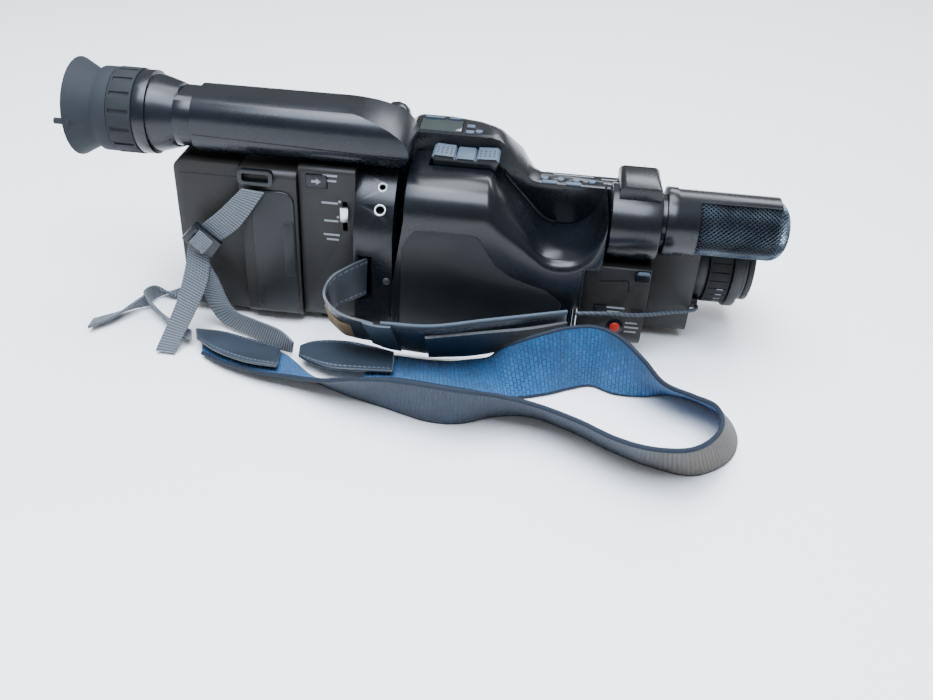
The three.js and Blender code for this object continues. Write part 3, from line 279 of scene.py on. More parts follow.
for node, name, material, radius in (
        ("grip_cover", "grip_moulding", polished_abs, 0.5),
        ("top_cover", "top_moulding", polished_abs, 0.6),
        ("label_wall", "label_wall_moulding", side_abs, 0.8),
        ("rear_cover", "rear_moulding", side_abs, 0.9),
        ("left_cover", "left_moulding", textured_abs, 0.6),
        ("cassette_door", "cassette_door_moulding", textured_abs, 0.5),
        ("front_side_panel", "front_side_moulding", side_abs, 0.7),
        ("lens_block", "lens_block_moulding", side_abs, 0.7),
        ("jack_panel", "jack_panel_moulding", polished_abs, 0.5),
        ("base_plate", "base_moulding", side_abs, 0.5),
        ("viewfinder_bracket", "viewfinder_bracket_moulding", polished_abs, 0.4),
        ("strap_loop_right", "strap_loop_right_moulding", polished_abs, 0.5),
        ("strap_loop_left", "strap_loop_left_moulding", polished_abs, 0.4)):
    moulded_copy(node, name, material, radius)


# ---- battery --------------------------------------------------------------------------
# The battery is a plain textured ABS case, welded from a tray and a lid: the weld shows as
# a fine line below its top.
moulded_copy("battery_pack", "battery_case", side_abs, 0.9)


def plate(name, outline, axis, at_mm, depth_mm, bevel_mm=0.2, bevel_steps=2):
    """A flat moulded detail: a closed outline in the two other axes, grown along one axis from a
    level by a depth, with rounded edges. The depth's sign says which way it grows."""
    bpy.ops.mesh.primitive_circle_add(vertices=len(outline), radius=1, fill_type="NGON")
    piece = bpy.context.object
    piece.name = name
    u_axis, v_axis = [k for k in range(3) if k != axis]
    for vertex, (u, v) in zip(piece.data.vertices, outline):
        place = [0.0, 0.0, 0.0]
        place[u_axis], place[v_axis], place[axis] = u * MM, v * MM, at_mm * MM
        vertex.co = place
    shift = [0.0, 0.0, 0.0]
    shift[axis] = depth_mm * MM
    bpy.ops.object.mode_set(mode="EDIT")
    bpy.ops.mesh.select_all(action="SELECT")
    bpy.ops.mesh.extrude_region_move(TRANSFORM_OT_translate={"value": shift})
    bpy.ops.mesh.select_all(action="SELECT")
    bpy.ops.mesh.normals_make_consistent(inside=False)
    bpy.ops.object.mode_set(mode="OBJECT")
    if bevel_mm:
        apply_modifier(piece, "BEVEL", width=bevel_mm * MM, segments=bevel_steps, limit_method="ANGLE",
                       angle_limit=math.radians(40))
    smooth(piece, 40)
    return piece


def rectangle(u, v):
    """The outline of a rectangle with square corners, as [u, v] points in order."""
    return [(u[0], v[0]), (u[1], v[0]), (u[1], v[1]), (u[0], v[1])]


def round_rect(u, v, radius, steps=4):
    """The outline of a rectangle with rounded corners, as [u, v] points in order."""
    points = []
    for (cu, cv), start in (((u[1] - radius, v[0] + radius), -90), ((u[1] - radius, v[1] - radius), 0),
                            ((u[0] + radius, v[1] - radius), 90), ((u[0] + radius, v[0] + radius), 180)):
        for i in range(steps + 1):
            turn = math.radians(start + 90 * i / steps)
            points.append((cu + radius * math.cos(turn), cv + radius * math.sin(turn)))
    return points


battery_low, battery_high = [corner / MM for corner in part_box("battery_pack")]
seam_dark = moulded_plastic("shadow_gap_black", "#020202", "#040404", 0.7, 1.0, 0.02)
settle(plate("battery_weld_line", rectangle((battery_low.x + 3, battery_high.x - 1), (79.4, 79.9)), 1,
             battery_low.y + 0.05, -0.12, 0), "battery", material=seam_dark)


# ---- rear cover -----------------------------------------------------------------------
# The battery unit's wall carries one raised panel with generous corners, moulded with it.
rear_low, rear_high = [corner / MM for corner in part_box("rear_cover")]
settle(plate("rear_raised_panel", round_rect((rear_low.x + 5.5, rear_high.x - 1.4), (8, 76), 6), 1,
             rear_low.y + 0.1, -1.3, 0.8, 3), material=textured_abs)
settle(plate("rear_jog_step", [(-97.5, 30), (-93.4, 30), (-93.4, 60), (-97.5, 60), (-99, 58), (-99, 32)], 1,
             rear_low.y - 1.1, -0.7, 0.4, 2), material=textured_abs)


# ---- label wall -----------------------------------------------------------------------
# A flat wall with the battery release button, a sliding power lever in chromed brass and
# small printed marks. Words are left out: plain bars and dots stand for them.
printed_mark = moulded_plastic("pale_printed_ink", "#6f7478", "#8d9295", 0.6, 1.0, 0.0)
wall_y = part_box("label_wall")[0].y / MM
moulded_copy("battery_release_button", "release_button_cap", textured_abs, 0.4)
settle(plate("release_arrow_mark", [(-84.4, 81.2), (-82, 81.2), (-82, 80.2), (-79.8, 81.8), (-82, 83.4),
                                    (-82, 82.4), (-84.4, 82.4)], 1, wall_y - 0.85, -0.12, 0), "release",
       material=printed_mark)
for i, (x, z, wide) in enumerate(((-75.5, 84.5, 7), (-75.5, 81.8, 6), (-76, 70.2, 8), (-75.5, 60.6, 7),
                                  (-75.5, 53.0, 8), (-75, 50.4, 6))):
    settle(plate(f"wall_mark_{i + 1}", rectangle((x - wide / 2, x + wide / 2), (z, z + 1.0)), 1,
                 wall_y + 0.05, -0.1, 0), material=printed_mark)


def disc(name, axis, centre_mm, radius_mm, depth_mm, sides=24, bevel_mm=0.15):
    """A short round detail that grows along one axis from its centre by a depth."""
    across = [k for k in range(3) if k != axis]
    outline = [(centre_mm[across[0]] + radius_mm * math.cos(2 * math.pi * i / sides),
                centre_mm[across[1]] + radius_mm * math.sin(2 * math.pi * i / sides)) for i in range(sides)]
    return plate(name, outline, axis, centre_mm[axis], depth_mm, bevel_mm)


for i, (x, z) in enumerate(((-71, 71.8), (-72, 63.4))):
    settle(disc(f"wall_dot_{i + 1}", 1, (x, wall_y + 0.05, z), 0.7, -0.25, 16, 0.08), material=printed_mark)


def plated_metal(name, pale, dark, roughness, scratch_mm):
    """Nickel-chrome plating: bright, with hairline scratches that soften its reflections."""
    material, tree, place, _ = start_material(name)
    lines = add_node(tree, "Mapping", {"Vector": place, "Scale": (1.0, 6.0, 1.0)})
    scratch = add_node(tree, "TexNoise", {"Vector": lines.outputs["Vector"], "Scale": 1 / (scratch_mm * MM),
                                          "Detail": 4.0})
    colour = add_node(tree, "Mix", {"Factor": scratch.outputs["Fac"], "A": linear(pale), "B": linear(dark)},
                      data_type="RGBA")
    gloss = add_node(tree, "MapRange", {"Value": scratch.outputs["Fac"], "To Min": roughness - 0.08,
                                        "To Max": roughness + 0.12})
    return finish_material(material, {"Metallic": 1.0, "Base Color": colour.outputs["Result"],
                                      "Roughness": gloss.outputs["Result"]})


chrome_plate = plated_metal("nickel_chrome_plate", "#d4d6d8", "#a9adb1", 0.2, 3.0)
stamped_steel = plated_metal("plain_stamped_steel", "#8b8e92", "#6f7276", 0.38, 2.0)
moulded_copy("power_lever", "power_lever_plated", chrome_plate, 0.35)


# ---- jack panel -----------------------------------------------------------------------
# A polished sloping panel with a 2.5 mm and a 3.5 mm socket. Each socket has a turned
# metal ring that stands just proud of the slope.
JACK_TILT = math.radians(41)
jack_ring_metal = plated_metal("turned_nickel_ring", "#c9ced0", "#9fb0aa", 0.3, 2.0)
for i, (y, z, bore) in enumerate(((-40, 80, 1.25), (-47.5, 71.5, 1.75))):
    bpy.ops.mesh.primitive_torus_add(major_segments=40, minor_segments=10, major_radius=(bore + 0.75) * MM,
                                     minor_radius=0.55 * MM)
    ring = bpy.context.object
    ring.name = f"jack_ring_{i + 1}"
    outward = Vector((0, -math.cos(JACK_TILT), math.sin(JACK_TILT)))
    ring.data.transform(outward.to_track_quat("Z", "Y").to_matrix().to_4x4())
    ring.data.transform(Matrix.Translation(Vector((-50.5, y, z)) * MM))
    smooth(ring, 60)
    settle(ring, "body", jack_ring_metal)


# ---- grip -----------------------------------------------------------------------------
# The grip side has a large inset pad with a coarser grain, pressed in a hair proud of the
# moulding. A smooth rib follows the slope below the rocker, and a steel screw holds the rear.
grip_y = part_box("grip_cover")[0].y / MM
PAD_OUTLINE = [(-39.5, 12), (40, 12), (40.6, 33), (38, 35.4), (32, 40), (22, 42.6), (14, 45.6), (7, 51),
               (2, 58.4), (-1, 63.5), (-3.4, 65.4), (-6, 66.2), (-30, 66.2), (-33, 65.4), (-35.4, 62.4),
               (-39, 56)]
settle(plate("grip_inset_pad", PAD_OUTLINE, 1, grip_y + 0.2, -0.65, 0.35, 2), material=textured_abs)
settle(disc("grip_screw", 1, (-46.6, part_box("jack_panel")[0].y / MM + 0.1, 35), 1.9, -0.5, 24, 0.3),
       "body", stamped_steel)
moulded_copy("strap_bar", "strap_bar_plated", chrome_plate, 0.0)
SLOPE_LINE = [(6.6, 81.4), (8, 79.6), (11.6, 75.6), (15.2, 71.8), (18.9, 68.0), (22.4, 64.1), (25.7, 60.6),
              (28.6, 58.1), (31.6, 56.6), (34.6, 55.8)]
rib_outline = ([(x, z + 0.8) for x, z in SLOPE_LINE]
               + [(x, z - 1.2) for x, z in reversed(SLOPE_LINE)])
settle(plate("grip_slope_rib", rib_outline, 1, -13.2, 2.4, 0.6, 2), material=polished_abs)


# ---- zoom rocker ----------------------------------------------------------------------
# A grey-blue two-way rocker in its well, its sides below the cap dark as painted shade of the
# well. Each end carries rows of raised dots for the finger, moulded with it and dark.
CAP_DEPTH = 1.9
DOT_PITCH_ALONG, DOT_PITCH_ACROSS = 2.2, 2.9
DOT_SINK, CAP_SLOPE = 0.1, 0.04
rocker_abs = moulded_plastic("grey_blue_moulded_abs", "#39444f", "#4d5a66", 0.5, 0.8, 0.04)
rocker_piece = moulded_copy("zoom_rocker", "zoom_rocker_moulding", rocker_abs, 0.4)
rocker_piece.data.materials.append(polished_abs)
rocker_top = max(vertex.co.z for vertex in rocker_piece.data.vertices)
# Faces below the cap take the dark plastic: painted shade where the sides stand in the well.
for face in rocker_piece.data.polygons:
    if face.center.z < rocker_top - CAP_DEPTH * MM:
        face.material_index = 1
rocker_low, rocker_high = [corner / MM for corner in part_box("zoom_rocker")]
dot_dark = moulded_plastic("dark_moulded_dot", "#1c232a", "#28303a", 0.5, 1.0, 0.0)
for side, start in (("rear", rocker_low.x + 2.6), ("front", rocker_high.x - 9.4)):
    for row in range(3):
        for column in range(4):
            x = start + DOT_PITCH_ALONG * column
            y = rocker_low.y + 3.4 + DOT_PITCH_ACROSS * row
            bpy.ops.mesh.primitive_uv_sphere_add(segments=8, ring_count=5, radius=0.55 * MM)
            dot = bpy.context.object
            dot.name = f"rocker_dot_{side}_{row}_{column}"
            from_end = x - rocker_low.x if side == "rear" else rocker_high.x - x
            z = rocker_high.z - DOT_SINK - CAP_SLOPE * from_end
            dot.data.transform(Matrix.Translation(Vector((x, y, z)) * MM))
            smooth(dot, 80)
            settle(dot, "rocker", dot_dark)


# ---- front side panel -----------------------------------------------------------------
# The record button is a domed red cap in a shallow ring, with a sliding switch beside it. A
# grey-blue catch sits at the panel's upper front corner, above a step line and a latch slot.
red_abs = moulded_plastic("signal_red_abs", "#8e1a10", "#b32618", 0.35, 1.0, 0.01)
moulded_copy("record_button", "record_button_cap", red_abs, 0.5, 3)
moulded_copy("mic_switch", "mic_switch_cap", textured_abs, 0.25)
panel_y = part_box("front_side_panel")[0].y / MM
settle(disc("record_button_ring", 1, (69, panel_y + 0.1, 19), 4.4, -0.45, 32, 0.2), material=polished_abs)
settle(plate("panel_catch", [(75.0, 46.6), (82.4, 46.6), (82.4, 51.4), (81.4, 52.4), (76.0, 52.4),
                             (75.0, 51.4)], 1, panel_y + 0.1, -2.2, 0.5, 2), material=polished_abs)
settle(plate("panel_catch_face", [(75.8, 50.9), (81.6, 50.9), (81.6, 52.2), (80.9, 52.8), (76.5, 52.8),
                                  (75.8, 52.2)], 1, panel_y - 1.9, -0.9, 0.4, 2),
       "body", rocker_abs)
settle(plate("panel_latch_window", rectangle((75.6, 81.4), (27.2, 30.6)), 1,
             panel_y + 0.05, -0.15, 0), material=seam_dark)
settle(plate("panel_step_line", [(58, 44.6), (71.6, 46.2), (72.6, 45.4), (73.2, 39.6), (72.8, 39.6),
                                 (72.2, 45.0), (71.4, 45.7), (58, 44.1)], 1, panel_y + 0.05, -0.12, 0),
       material=polished_abs)
for i, (x, z, wide) in enumerate(((68, 29.6, 9), (67, 27.2, 6), (77, 21.4, 6), (77.4, 18.8, 7),
                                  (77, 16.2, 6))):
    settle(plate(f"panel_mark_{i + 1}", rectangle((x - wide / 2, x + wide / 2), (z, z + 0.9)), 1,
                 panel_y + 0.05, -0.1, 0), material=printed_mark)


# ---- top cover ------------------------------------------------------------------------
# A smoked display window on the ridge, with small keys beside it and a row of keys on the
# low deck behind the microphone. The ridge has one parting line across it.
def smoked_window(name):
    """Smoked acrylic: nearly black, glossy, with a faint liquid-crystal grey beneath."""
    material, tree, place, _ = start_material(name)
    haze = add_node(tree, "TexNoise", {"Vector": place, "Scale": 90.0, "Detail": 3.0})
    colour = add_node(tree, "Mix", {"Factor": haze.outputs["Fac"], "A": linear("#1a2223"),
                                    "B": linear("#2a3433")}, data_type="RGBA")
    return finish_material(material, {"Roughness": 0.08, "Coat Weight": 0.6,
                                      "Base Color": colour.outputs["Result"]})


moulded_copy("display_window", "display_window_pane", smoked_window("smoked_acrylic"), 0.15)
for key in ("control_key_1", "control_key_2", "control_key_3", "control_key_4", "display_key"):
    moulded_copy(key, key + "_cap", rocker_abs, 0.35, 3)
ridge_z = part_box("top_cover")[1].z / MM
DECK_Z = 76.0
for i, (x0, x1, y0, y1) in enumerate(((-37, -27, 10.2, 12), (-24.5, -18.5, 10.2, 12),
                                      (-14.6, -10.6, -7, -3.4), (-14.6, -10.6, 0.6, 4.2))):
    settle(plate(f"ridge_button_{i + 1}", round_rect((x0, x1), (y0, y1), 0.6, 3), 2, ridge_z - 0.3, 0.9, 0.2),
           "body", rocker_abs)
for i, (x0, x1, y0, y1) in enumerate(((25, 34, -9.4, -8.6), (37, 46, -9.4, -8.6), (31, 52, 2.2, 3.0),
                                      (56, 76, 0.6, 1.4), (57, 74, -4.4, -3.6))):
    settle(plate(f"deck_mark_{i + 1}", rectangle((x0, x1), (y0, y1)), 2, DECK_Z - 0.05, 0.12, 0),
           material=printed_mark)
for i, (x0, x1, y0, y1) in enumerate(((25.5, 33.5, -9.9, -6.6), (37.5, 45.5, -9.9, -6.6))):
    settle(plate(f"deck_button_{i + 1}", round_rect((x0, x1), (y0, y1), 0.7, 3), 2, DECK_Z - 0.3, 1.0, 0.25),
           "body", rocker_abs)
settle(plate("ridge_parting_line", [(-15.6, -9.9), (-15.2, -9.9), (-14.6, 8), (-15.0, 8)], 2,
             ridge_z - 0.08, 0.14, 0), material=seam_dark)


# ---- microphone -----------------------------------------------------------------------
# The microphone is a foam core under a woven wire cage, clamped in a polished holder. The
# wires run on both diagonals, dark, with paler patches painted in their colour as glints.
moulded_copy("mic_holder", "mic_holder_moulding", polished_abs, 0.7)
moulded_copy("shoe_block", "shoe_block_moulding", polished_abs, 0.8, 2)
moulded_copy("mic_frame", "mic_frame_moulding", polished_abs, 0.5)
mic_low, mic_high = [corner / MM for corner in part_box("mic_grille")]
mic_radius = (mic_high.y - mic_low.y) / 2
mic_centre = Vector((0, (mic_low.y + mic_high.y) / 2, (mic_low.z + mic_high.z) / 2))
MIC_NOSE = 8.0
CAGE_AROUND, CAGE_ALONG, CAGE_WIRE_MM = 44, 23, 0.85


def mic_profile(share, radius):
    """How far along and out a point of the cage lies, from its rear rim to its blunt nose."""
    length = mic_high.x - mic_low.x
    straight = (length - MIC_NOSE) / (length + 0.6 * radius)
    if share < straight:
        return mic_low.x + share / straight * (length - MIC_NOSE), radius
    turn = (share - straight) / (1 - straight) * math.pi / 2
    return mic_high.x - MIC_NOSE + MIC_NOSE * math.sin(turn), radius * max(0.12, math.cos(turn) ** 0.75)


def mic_shell(name, radius, around, along):
    """A tube of square cells along the microphone, drawn in to its blunt nose."""
    bpy.ops.mesh.primitive_grid_add(x_subdivisions=around, y_subdivisions=along, size=1)
    shell = bpy.context.object
    shell.name = name
    for vertex in shell.data.vertices:
        turn = 2 * math.pi * (vertex.co.x + 0.5)
        x, out = mic_profile(vertex.co.y + 0.5, radius)
        vertex.co = Vector((x, mic_centre.y + out * math.cos(turn), mic_centre.z + out * math.sin(turn))) * MM
    bpy.ops.object.mode_set(mode="EDIT")
    bpy.ops.mesh.select_all(action="SELECT")
    bpy.ops.mesh.remove_doubles(threshold=0.01 * MM)
    bpy.ops.mesh.normals_make_consistent(inside=False)
    bpy.ops.object.mode_set(mode="OBJECT")
    return shell


mic_cage = mic_shell("mic_wire_cage", mic_radius - 0.5, CAGE_AROUND, CAGE_ALONG)
bpy.ops.object.mode_set(mode="EDIT")
bpy.ops.mesh.select_all(action="SELECT")
bpy.ops.mesh.mark_seam(clear=False)
bpy.ops.mesh.poke()
bpy.ops.mesh.select_all(action="DESELECT")
bpy.ops.object.mode_set(mode="OBJECT")
rim_x = mic_low.x * MM
for edge in mic_cage.data.edges:
    ends = [mic_cage.data.vertices[v].co.x for v in edge.vertices]
    edge.select = edge.use_seam and not (max(ends) < rim_x + 0.2 * MM)
bpy.ops.object.mode_set(mode="EDIT")
bpy.ops.mesh.select_mode(type="EDGE")
bpy.ops.mesh.dissolve_edges(use_verts=False)
bpy.ops.object.mode_set(mode="OBJECT")
apply_modifier(mic_cage, "WIREFRAME", thickness=CAGE_WIRE_MM * MM, offset=0, use_even_offset=False)
smooth(mic_cage, 60)


def glint_patched_wire(name):
    """Dark-painted brass wire, with pale patches painted in its colour as glints of the weave."""
    material, tree, place, _ = start_material(name)
    glint_patches = add_node(tree, "TexNoise", {"Vector": place, "Scale": 60.0, "Detail": 4.0})
    glint_tone = add_node(tree, "ValToRGB", {"Fac": glint_patches.outputs["Fac"]})
    # The pale stop paints glints on the wires, in patches that follow the noise.
    set_ramp(glint_tone, (0.3, "#2a3139"), (0.75, "#66717c"))
    return finish_material(material, {"Metallic": 0.85, "Roughness": 0.3,
                                      "Base Color": glint_tone.outputs["Color"]})


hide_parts("mic_grille")
settle(mic_cage, "body", glint_patched_wire("wire_with_painted_glints"))
foam_core = mic_shell("mic_foam_core", mic_radius - 1.5, 40, 24)
bpy.ops.object.mode_set(mode="EDIT")
bpy.ops.mesh.select_mode(type="EDGE")
bpy.ops.mesh.select_all(action="DESELECT")
bpy.ops.mesh.select_non_manifold()
bpy.ops.mesh.edge_face_add()
bpy.ops.mesh.select_all(action="SELECT")
bpy.ops.mesh.normals_make_consistent(inside=False)
bpy.ops.object.mode_set(mode="OBJECT")
smooth(foam_core, 60)
foam_black = moulded_plastic("open_cell_black_foam", "#050607", "#0d0f11", 0.9, 0.8, 0.3)
settle(foam_core, "body", foam_black)


# ---- lens -----------------------------------------------------------------------------
# Turned and moulded rings on one axis: a ribbed rubber focus ring, a smooth ring ahead of
# it, and a moulded cap on the hood. The glass is coated and sits behind the cap.
def coated_glass(name, tint):
    """Coated optical glass: almost black from outside, with a clean tinted reflection."""
    material, tree, place, _ = start_material(name)
    film = add_node(tree, "TexNoise", {"Vector": place, "Scale": 40.0})
    colour = add_node(tree, "Mix", {"Factor": film.outputs["Fac"], "A": linear("#05070a"), "B": linear(tint)},
                      data_type="RGBA")
    return finish_material(material, {"Roughness": 0.04, "Coat Weight": 1.0,
                                      "Base Color": colour.outputs["Result"]})


for node, name, material, radius in (("lens_barrel", "lens_barrel_moulding", textured_abs, 0.4),
                                     ("zoom_ring", "zoom_ring_moulding", textured_abs, 0.7),
                                     ("lens_cap", "lens_cap_moulding", side_abs, 0.7),
                                     ("front_glass", "front_glass_element",
                                      coated_glass("coated_glass", "#10131c"), 0.3)):
    moulded_copy(node, name, material, radius)


def ribbed_rubber(name, dark, pale):
    """Moulded rubber: dead matt, with dust held in its pores."""
    return moulded_plastic(name, dark, pale, 0.78, 0.8, 0.08, patch_mm=8.0, spread=0.08)


black_rubber = ribbed_rubber("moulded_black_rubber", "#0e0f10", "#191a1b")


def grip_ring(node, name, material, ribs, depth_mm, margin_mm):
    """A turned ring with a band of sunk slots around it, which stands for a CAD ring about X."""
    low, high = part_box(node)
    centre = (low + high) / 2
    bpy.ops.mesh.primitive_cylinder_add(vertices=2 * ribs, radius=(high.y - low.y) / 2, depth=high.x - low.x,
                                        end_fill_type="NGON")
    ring = bpy.context.object
    ring.name = name
    ring.data.transform(Matrix.Translation(centre) @ Matrix.Rotation(math.pi / 2, 4, "Y"))
    bpy.ops.object.mode_set(mode="EDIT")
    bpy.ops.mesh.select_mode(type="FACE")
    bpy.ops.mesh.select_all(action="DESELECT")
    bpy.ops.object.mode_set(mode="OBJECT")
    sides = [p for p in ring.data.polygons if abs(p.normal.x) < 0.5]
    sides.sort(key=lambda p: math.atan2(p.center.z - centre.z, p.center.y - centre.y))
    for i, face in enumerate(sides):
        face.select = i % 2 == 0
    bpy.ops.object.mode_set(mode="EDIT")
    bpy.ops.mesh.inset(thickness=margin_mm * MM, depth=0, use_individual=True)
    bpy.ops.mesh.inset(thickness=0.12 * MM, depth=-depth_mm * MM, use_individual=True)
    bpy.ops.object.mode_set(mode="OBJECT")
    apply_modifier(ring, "BEVEL", width=0.25 * MM, segments=2, limit_method="ANGLE",
                   angle_limit=math.radians(50))
    smooth(ring, 30)
    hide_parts(node)
    return settle(ring, BODY_OF[node], material)


grip_ring("focus_ring", "focus_ring_rubber", black_rubber, 30, 0.5, 0.9)
focus_low, focus_high = [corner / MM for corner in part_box("focus_ring")]
focus_radius = (focus_high.y - focus_low.y) / 2 + 0.02
for i, turn in enumerate((196, 206, 216, 226)):
    angle = math.radians(turn)
    bpy.ops.mesh.primitive_plane_add(size=1)
    mark = bpy.context.object
    mark.name = f"focus_mark_{i + 1}"
    middle = (focus_low + focus_high) / 2 + Vector((1.5, focus_radius * math.cos(angle),
                                                    focus_radius * math.sin(angle)))
    mark.data.transform(Matrix.Diagonal((3.2 * MM, 0.7 * MM, 1, 1)))
    mark.data.transform(Matrix.Rotation(angle - math.pi / 2, 4, "X"))
    mark.data.transform(Matrix.Translation(middle * MM))
    apply_modifier(mark, "SOLIDIFY", thickness=0.1 * MM, offset=1)
    settle(mark, "focus", printed_mark)


# ---- viewfinder -----------------------------------------------------------------------
# A satin dark blue-grey tube moulded in two halves, with a parting line along its side, a
# necked eyepiece, a slotted dioptre ring and a soft rubber eyecup.
finder_abs = moulded_plastic("satin_blue_grey_abs", "#090d11", "#10161c", 0.28, 0.9, 0.03, spread=0.1)
moulded_copy("viewfinder_tube", "viewfinder_tube_moulding", finder_abs, 0.6, 3)
moulded_copy("eyepiece_housing", "eyepiece_housing_moulding", finder_abs, 0.5)
moulded_copy("eyecup", "eyecup_rubber", ribbed_rubber("soft_grey_rubber", "#14181c", "#1f252a"), 0.5, 2)
moulded_copy("eyepiece_lens", "eyepiece_lens_element", coated_glass("coated_eyepiece_glass", "#141a24"), 0.3)
grip_ring("dioptre_ring", "dioptre_ring_rubber", ribbed_rubber("hard_grey_rubber", "#101316", "#1a1e22"), 15,
          0.8, 1.1)
tube_low, tube_high = [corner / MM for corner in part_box("viewfinder_tube")]
SEAM_Z = 100.2
seam_rear, seam_front = tube_low.x + 0.5, tube_high.x - 4.5
settle(plate("viewfinder_parting_line", [(seam_rear, SEAM_Z), (seam_front, SEAM_Z - 3.4),
                                         (seam_front, SEAM_Z - 3.0), (seam_rear, SEAM_Z + 0.4)], 1,
             tube_low.y + 0.06, -0.12, 0), "viewfinder", seam_dark)


# ---- hand strap -----------------------------------------------------------------------
# A band of vinyl-faced webbing with a tan lining leaves the jack panel, loops forward and
# carries a hand pad: foam in a vinyl cover, piped along both edges, with a sewn flap and a keeper.
FINE_STEPS = 400


def ribbon(name, edge_a, edge_b, steps, across, thickness_mm, crown_mm=0.0, materials=(), rim=0):
    """A strap between two edge curves: a grid bent onto them, then given its thickness. Its own
    UV map runs 0 to 1 across and in strap widths along. Crown is how far the middle swells."""
    fine = [(spline_point(edge_a, i / FINE_STEPS), spline_point(edge_b, i / FINE_STEPS))
            for i in range(FINE_STEPS + 1)]
    travelled = [0.0]
    for (a0, b0), (a1, b1) in zip(fine, fine[1:]):
        travelled.append(travelled[-1] + ((a0 + b0) / 2 - (a1 + b1) / 2).length)
    width = sum((a - b).length for a, b in fine) / len(fine)
    rows = []
    k = 0
    for step in range(steps + 1):
        wanted = travelled[-1] * step / steps
        while k < FINE_STEPS - 1 and travelled[k + 1] < wanted:
            k += 1
        share = (wanted - travelled[k]) / max(travelled[k + 1] - travelled[k], 1e-9)
        rows.append((fine[k][0].lerp(fine[k + 1][0], share), fine[k][1].lerp(fine[k + 1][1], share)))
    bpy.ops.mesh.primitive_grid_add(x_subdivisions=steps, y_subdivisions=across, size=1, calc_uvs=True)
    strap = bpy.context.object
    strap.name = name
    for loop in strap.data.loops:
        spot = strap.data.uv_layers.active.data[loop.index].uv
        strap.data.uv_layers.active.data[loop.index].uv = (spot[1], spot[0] * travelled[-1] / width)
    for vertex in strap.data.vertices:
        a, b = rows[round((vertex.co.x + 0.5) * steps)]
        vertex.co = a.lerp(b, vertex.co.y + 0.5) * MM
    if crown_mm:
        swell = strap.vertex_groups.new(name="swell")
        for vertex in strap.data.vertices:
            column, row = vertex.index % (steps + 1), vertex.index // (steps + 1)
            u, v = row / across, column / steps
            rise = (1 - (2 * u - 1) ** 4) * (1 - (2 * v - 1) ** 8)
            swell.add([vertex.index], max(0.0, rise), "REPLACE")
        apply_modifier(strap, "SOLIDIFY", thickness=(thickness_mm + crown_mm) * MM, offset=0,
                       vertex_group="swell",
                       thickness_vertex_group=thickness_mm / (thickness_mm + crown_mm))
    else:
        for material in materials:
            strap.data.materials.append(material)
        apply_modifier(strap, "SOLIDIFY", thickness=thickness_mm * MM, offset=0,
                       material_offset=1 if len(materials) > 1 else 0, material_offset_rim=rim)
    return strap


def edge_tube(name, points, radius_mm, steps, material):
    """A rounded binding sewn along an edge: a tube along a curve, made a mesh."""
    curve = bpy.data.curves.new(name, "CURVE")
    curve.dimensions = "3D"
    curve.bevel_depth = radius_mm * MM
    curve.bevel_resolution = 2
    curve.use_fill_caps = True
    line = curve.splines.new("POLY")
    line.points.add(steps)
    for i, point in enumerate(line.points):
        point.co = (*(spline_point(points, i / steps) * MM), 1)
    bpy.ops.object.select_all(action="DESELECT")
    tube = bpy.data.objects.new(name, curve)
    bpy.context.scene.collection.objects.link(tube)
    tube.select_set(True)
    bpy.context.view_layer.objects.active = tube
    bpy.ops.object.convert(target="MESH")
    tube = bpy.context.object
    smooth(tube, 60)
    return settle(tube, "body", material)


def fix_strap(strap, node=None, material=None, degrees=50):
    """Smooths a strap and fixes it to the body, where it may stand for a CAD node."""
    if node:
        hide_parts(node)
    smooth(strap, degrees)
    return settle(strap, "body", material)


def sewn_vinyl(name, dark, pale, thread, stitch_mm, width_mm):
    """Vinyl-faced strapping: leather grain, a welt pressed along each edge and a row of stitches."""
    material, tree, place, uv_place = start_material(name)
    grain = add_node(tree, "TexVoronoi", {"Vector": place, "Scale": 900.0}, feature="DISTANCE_TO_EDGE")
    patches = add_node(tree, "TexNoise", {"Vector": place, "Scale": 70.0, "Detail": 4.0})
    flat = add_node(tree, "SeparateXYZ", {"Vector": uv_place})
    from_middle = add_node(tree, "Math", {0: flat.outputs["X"], 1: 0.5}, operation="SUBTRACT")
    out = add_node(tree, "Math", {0: from_middle.outputs[0]}, operation="ABSOLUTE")
    off_line = add_node(tree, "Math", {0: out.outputs[0], 1: 0.41}, operation="SUBTRACT")
    near_line = add_node(tree, "Math", {0: off_line.outputs[0]}, operation="ABSOLUTE")
    on_line = add_node(tree, "Math", {0: near_line.outputs[0], 1: 0.35 / width_mm}, operation="LESS_THAN")
    beat = add_node(tree, "Math", {0: flat.outputs["Y"], 1: width_mm / stitch_mm}, operation="MULTIPLY")
    part = add_node(tree, "Math", {0: beat.outputs[0]}, operation="FRACT")
    dash = add_node(tree, "Math", {0: part.outputs[0], 1: 0.62}, operation="LESS_THAN")
    stitch = add_node(tree, "Math", {0: on_line.outputs[0], 1: dash.outputs[0]}, operation="MULTIPLY")
    face = add_node(tree, "Mix", {"Factor": patches.outputs["Fac"], "A": linear(dark), "B": linear(pale)},
                    data_type="RGBA")
    colour = add_node(tree, "Mix", {"Factor": stitch.outputs[0], "A": face.outputs["Result"],
                                    "B": linear(thread)}, data_type="RGBA")
    groove = add_node(tree, "Math", {0: on_line.outputs[0], 1: -0.5}, operation="MULTIPLY")
    raised = add_node(tree, "Math", {0: stitch.outputs[0], 1: groove.outputs[0]}, operation="ADD")
    height = add_node(tree, "Math", {0: grain.outputs["Distance"], 1: raised.outputs[0]}, operation="ADD")
    bump = add_node(tree, "Bump", {"Height": height.outputs[0], "Distance": 0.25 * MM, "Strength": 0.7})
    return finish_material(material, {"Roughness": 0.42, "Base Color": colour.outputs["Result"],
                                      "Normal": bump.outputs["Normal"]})


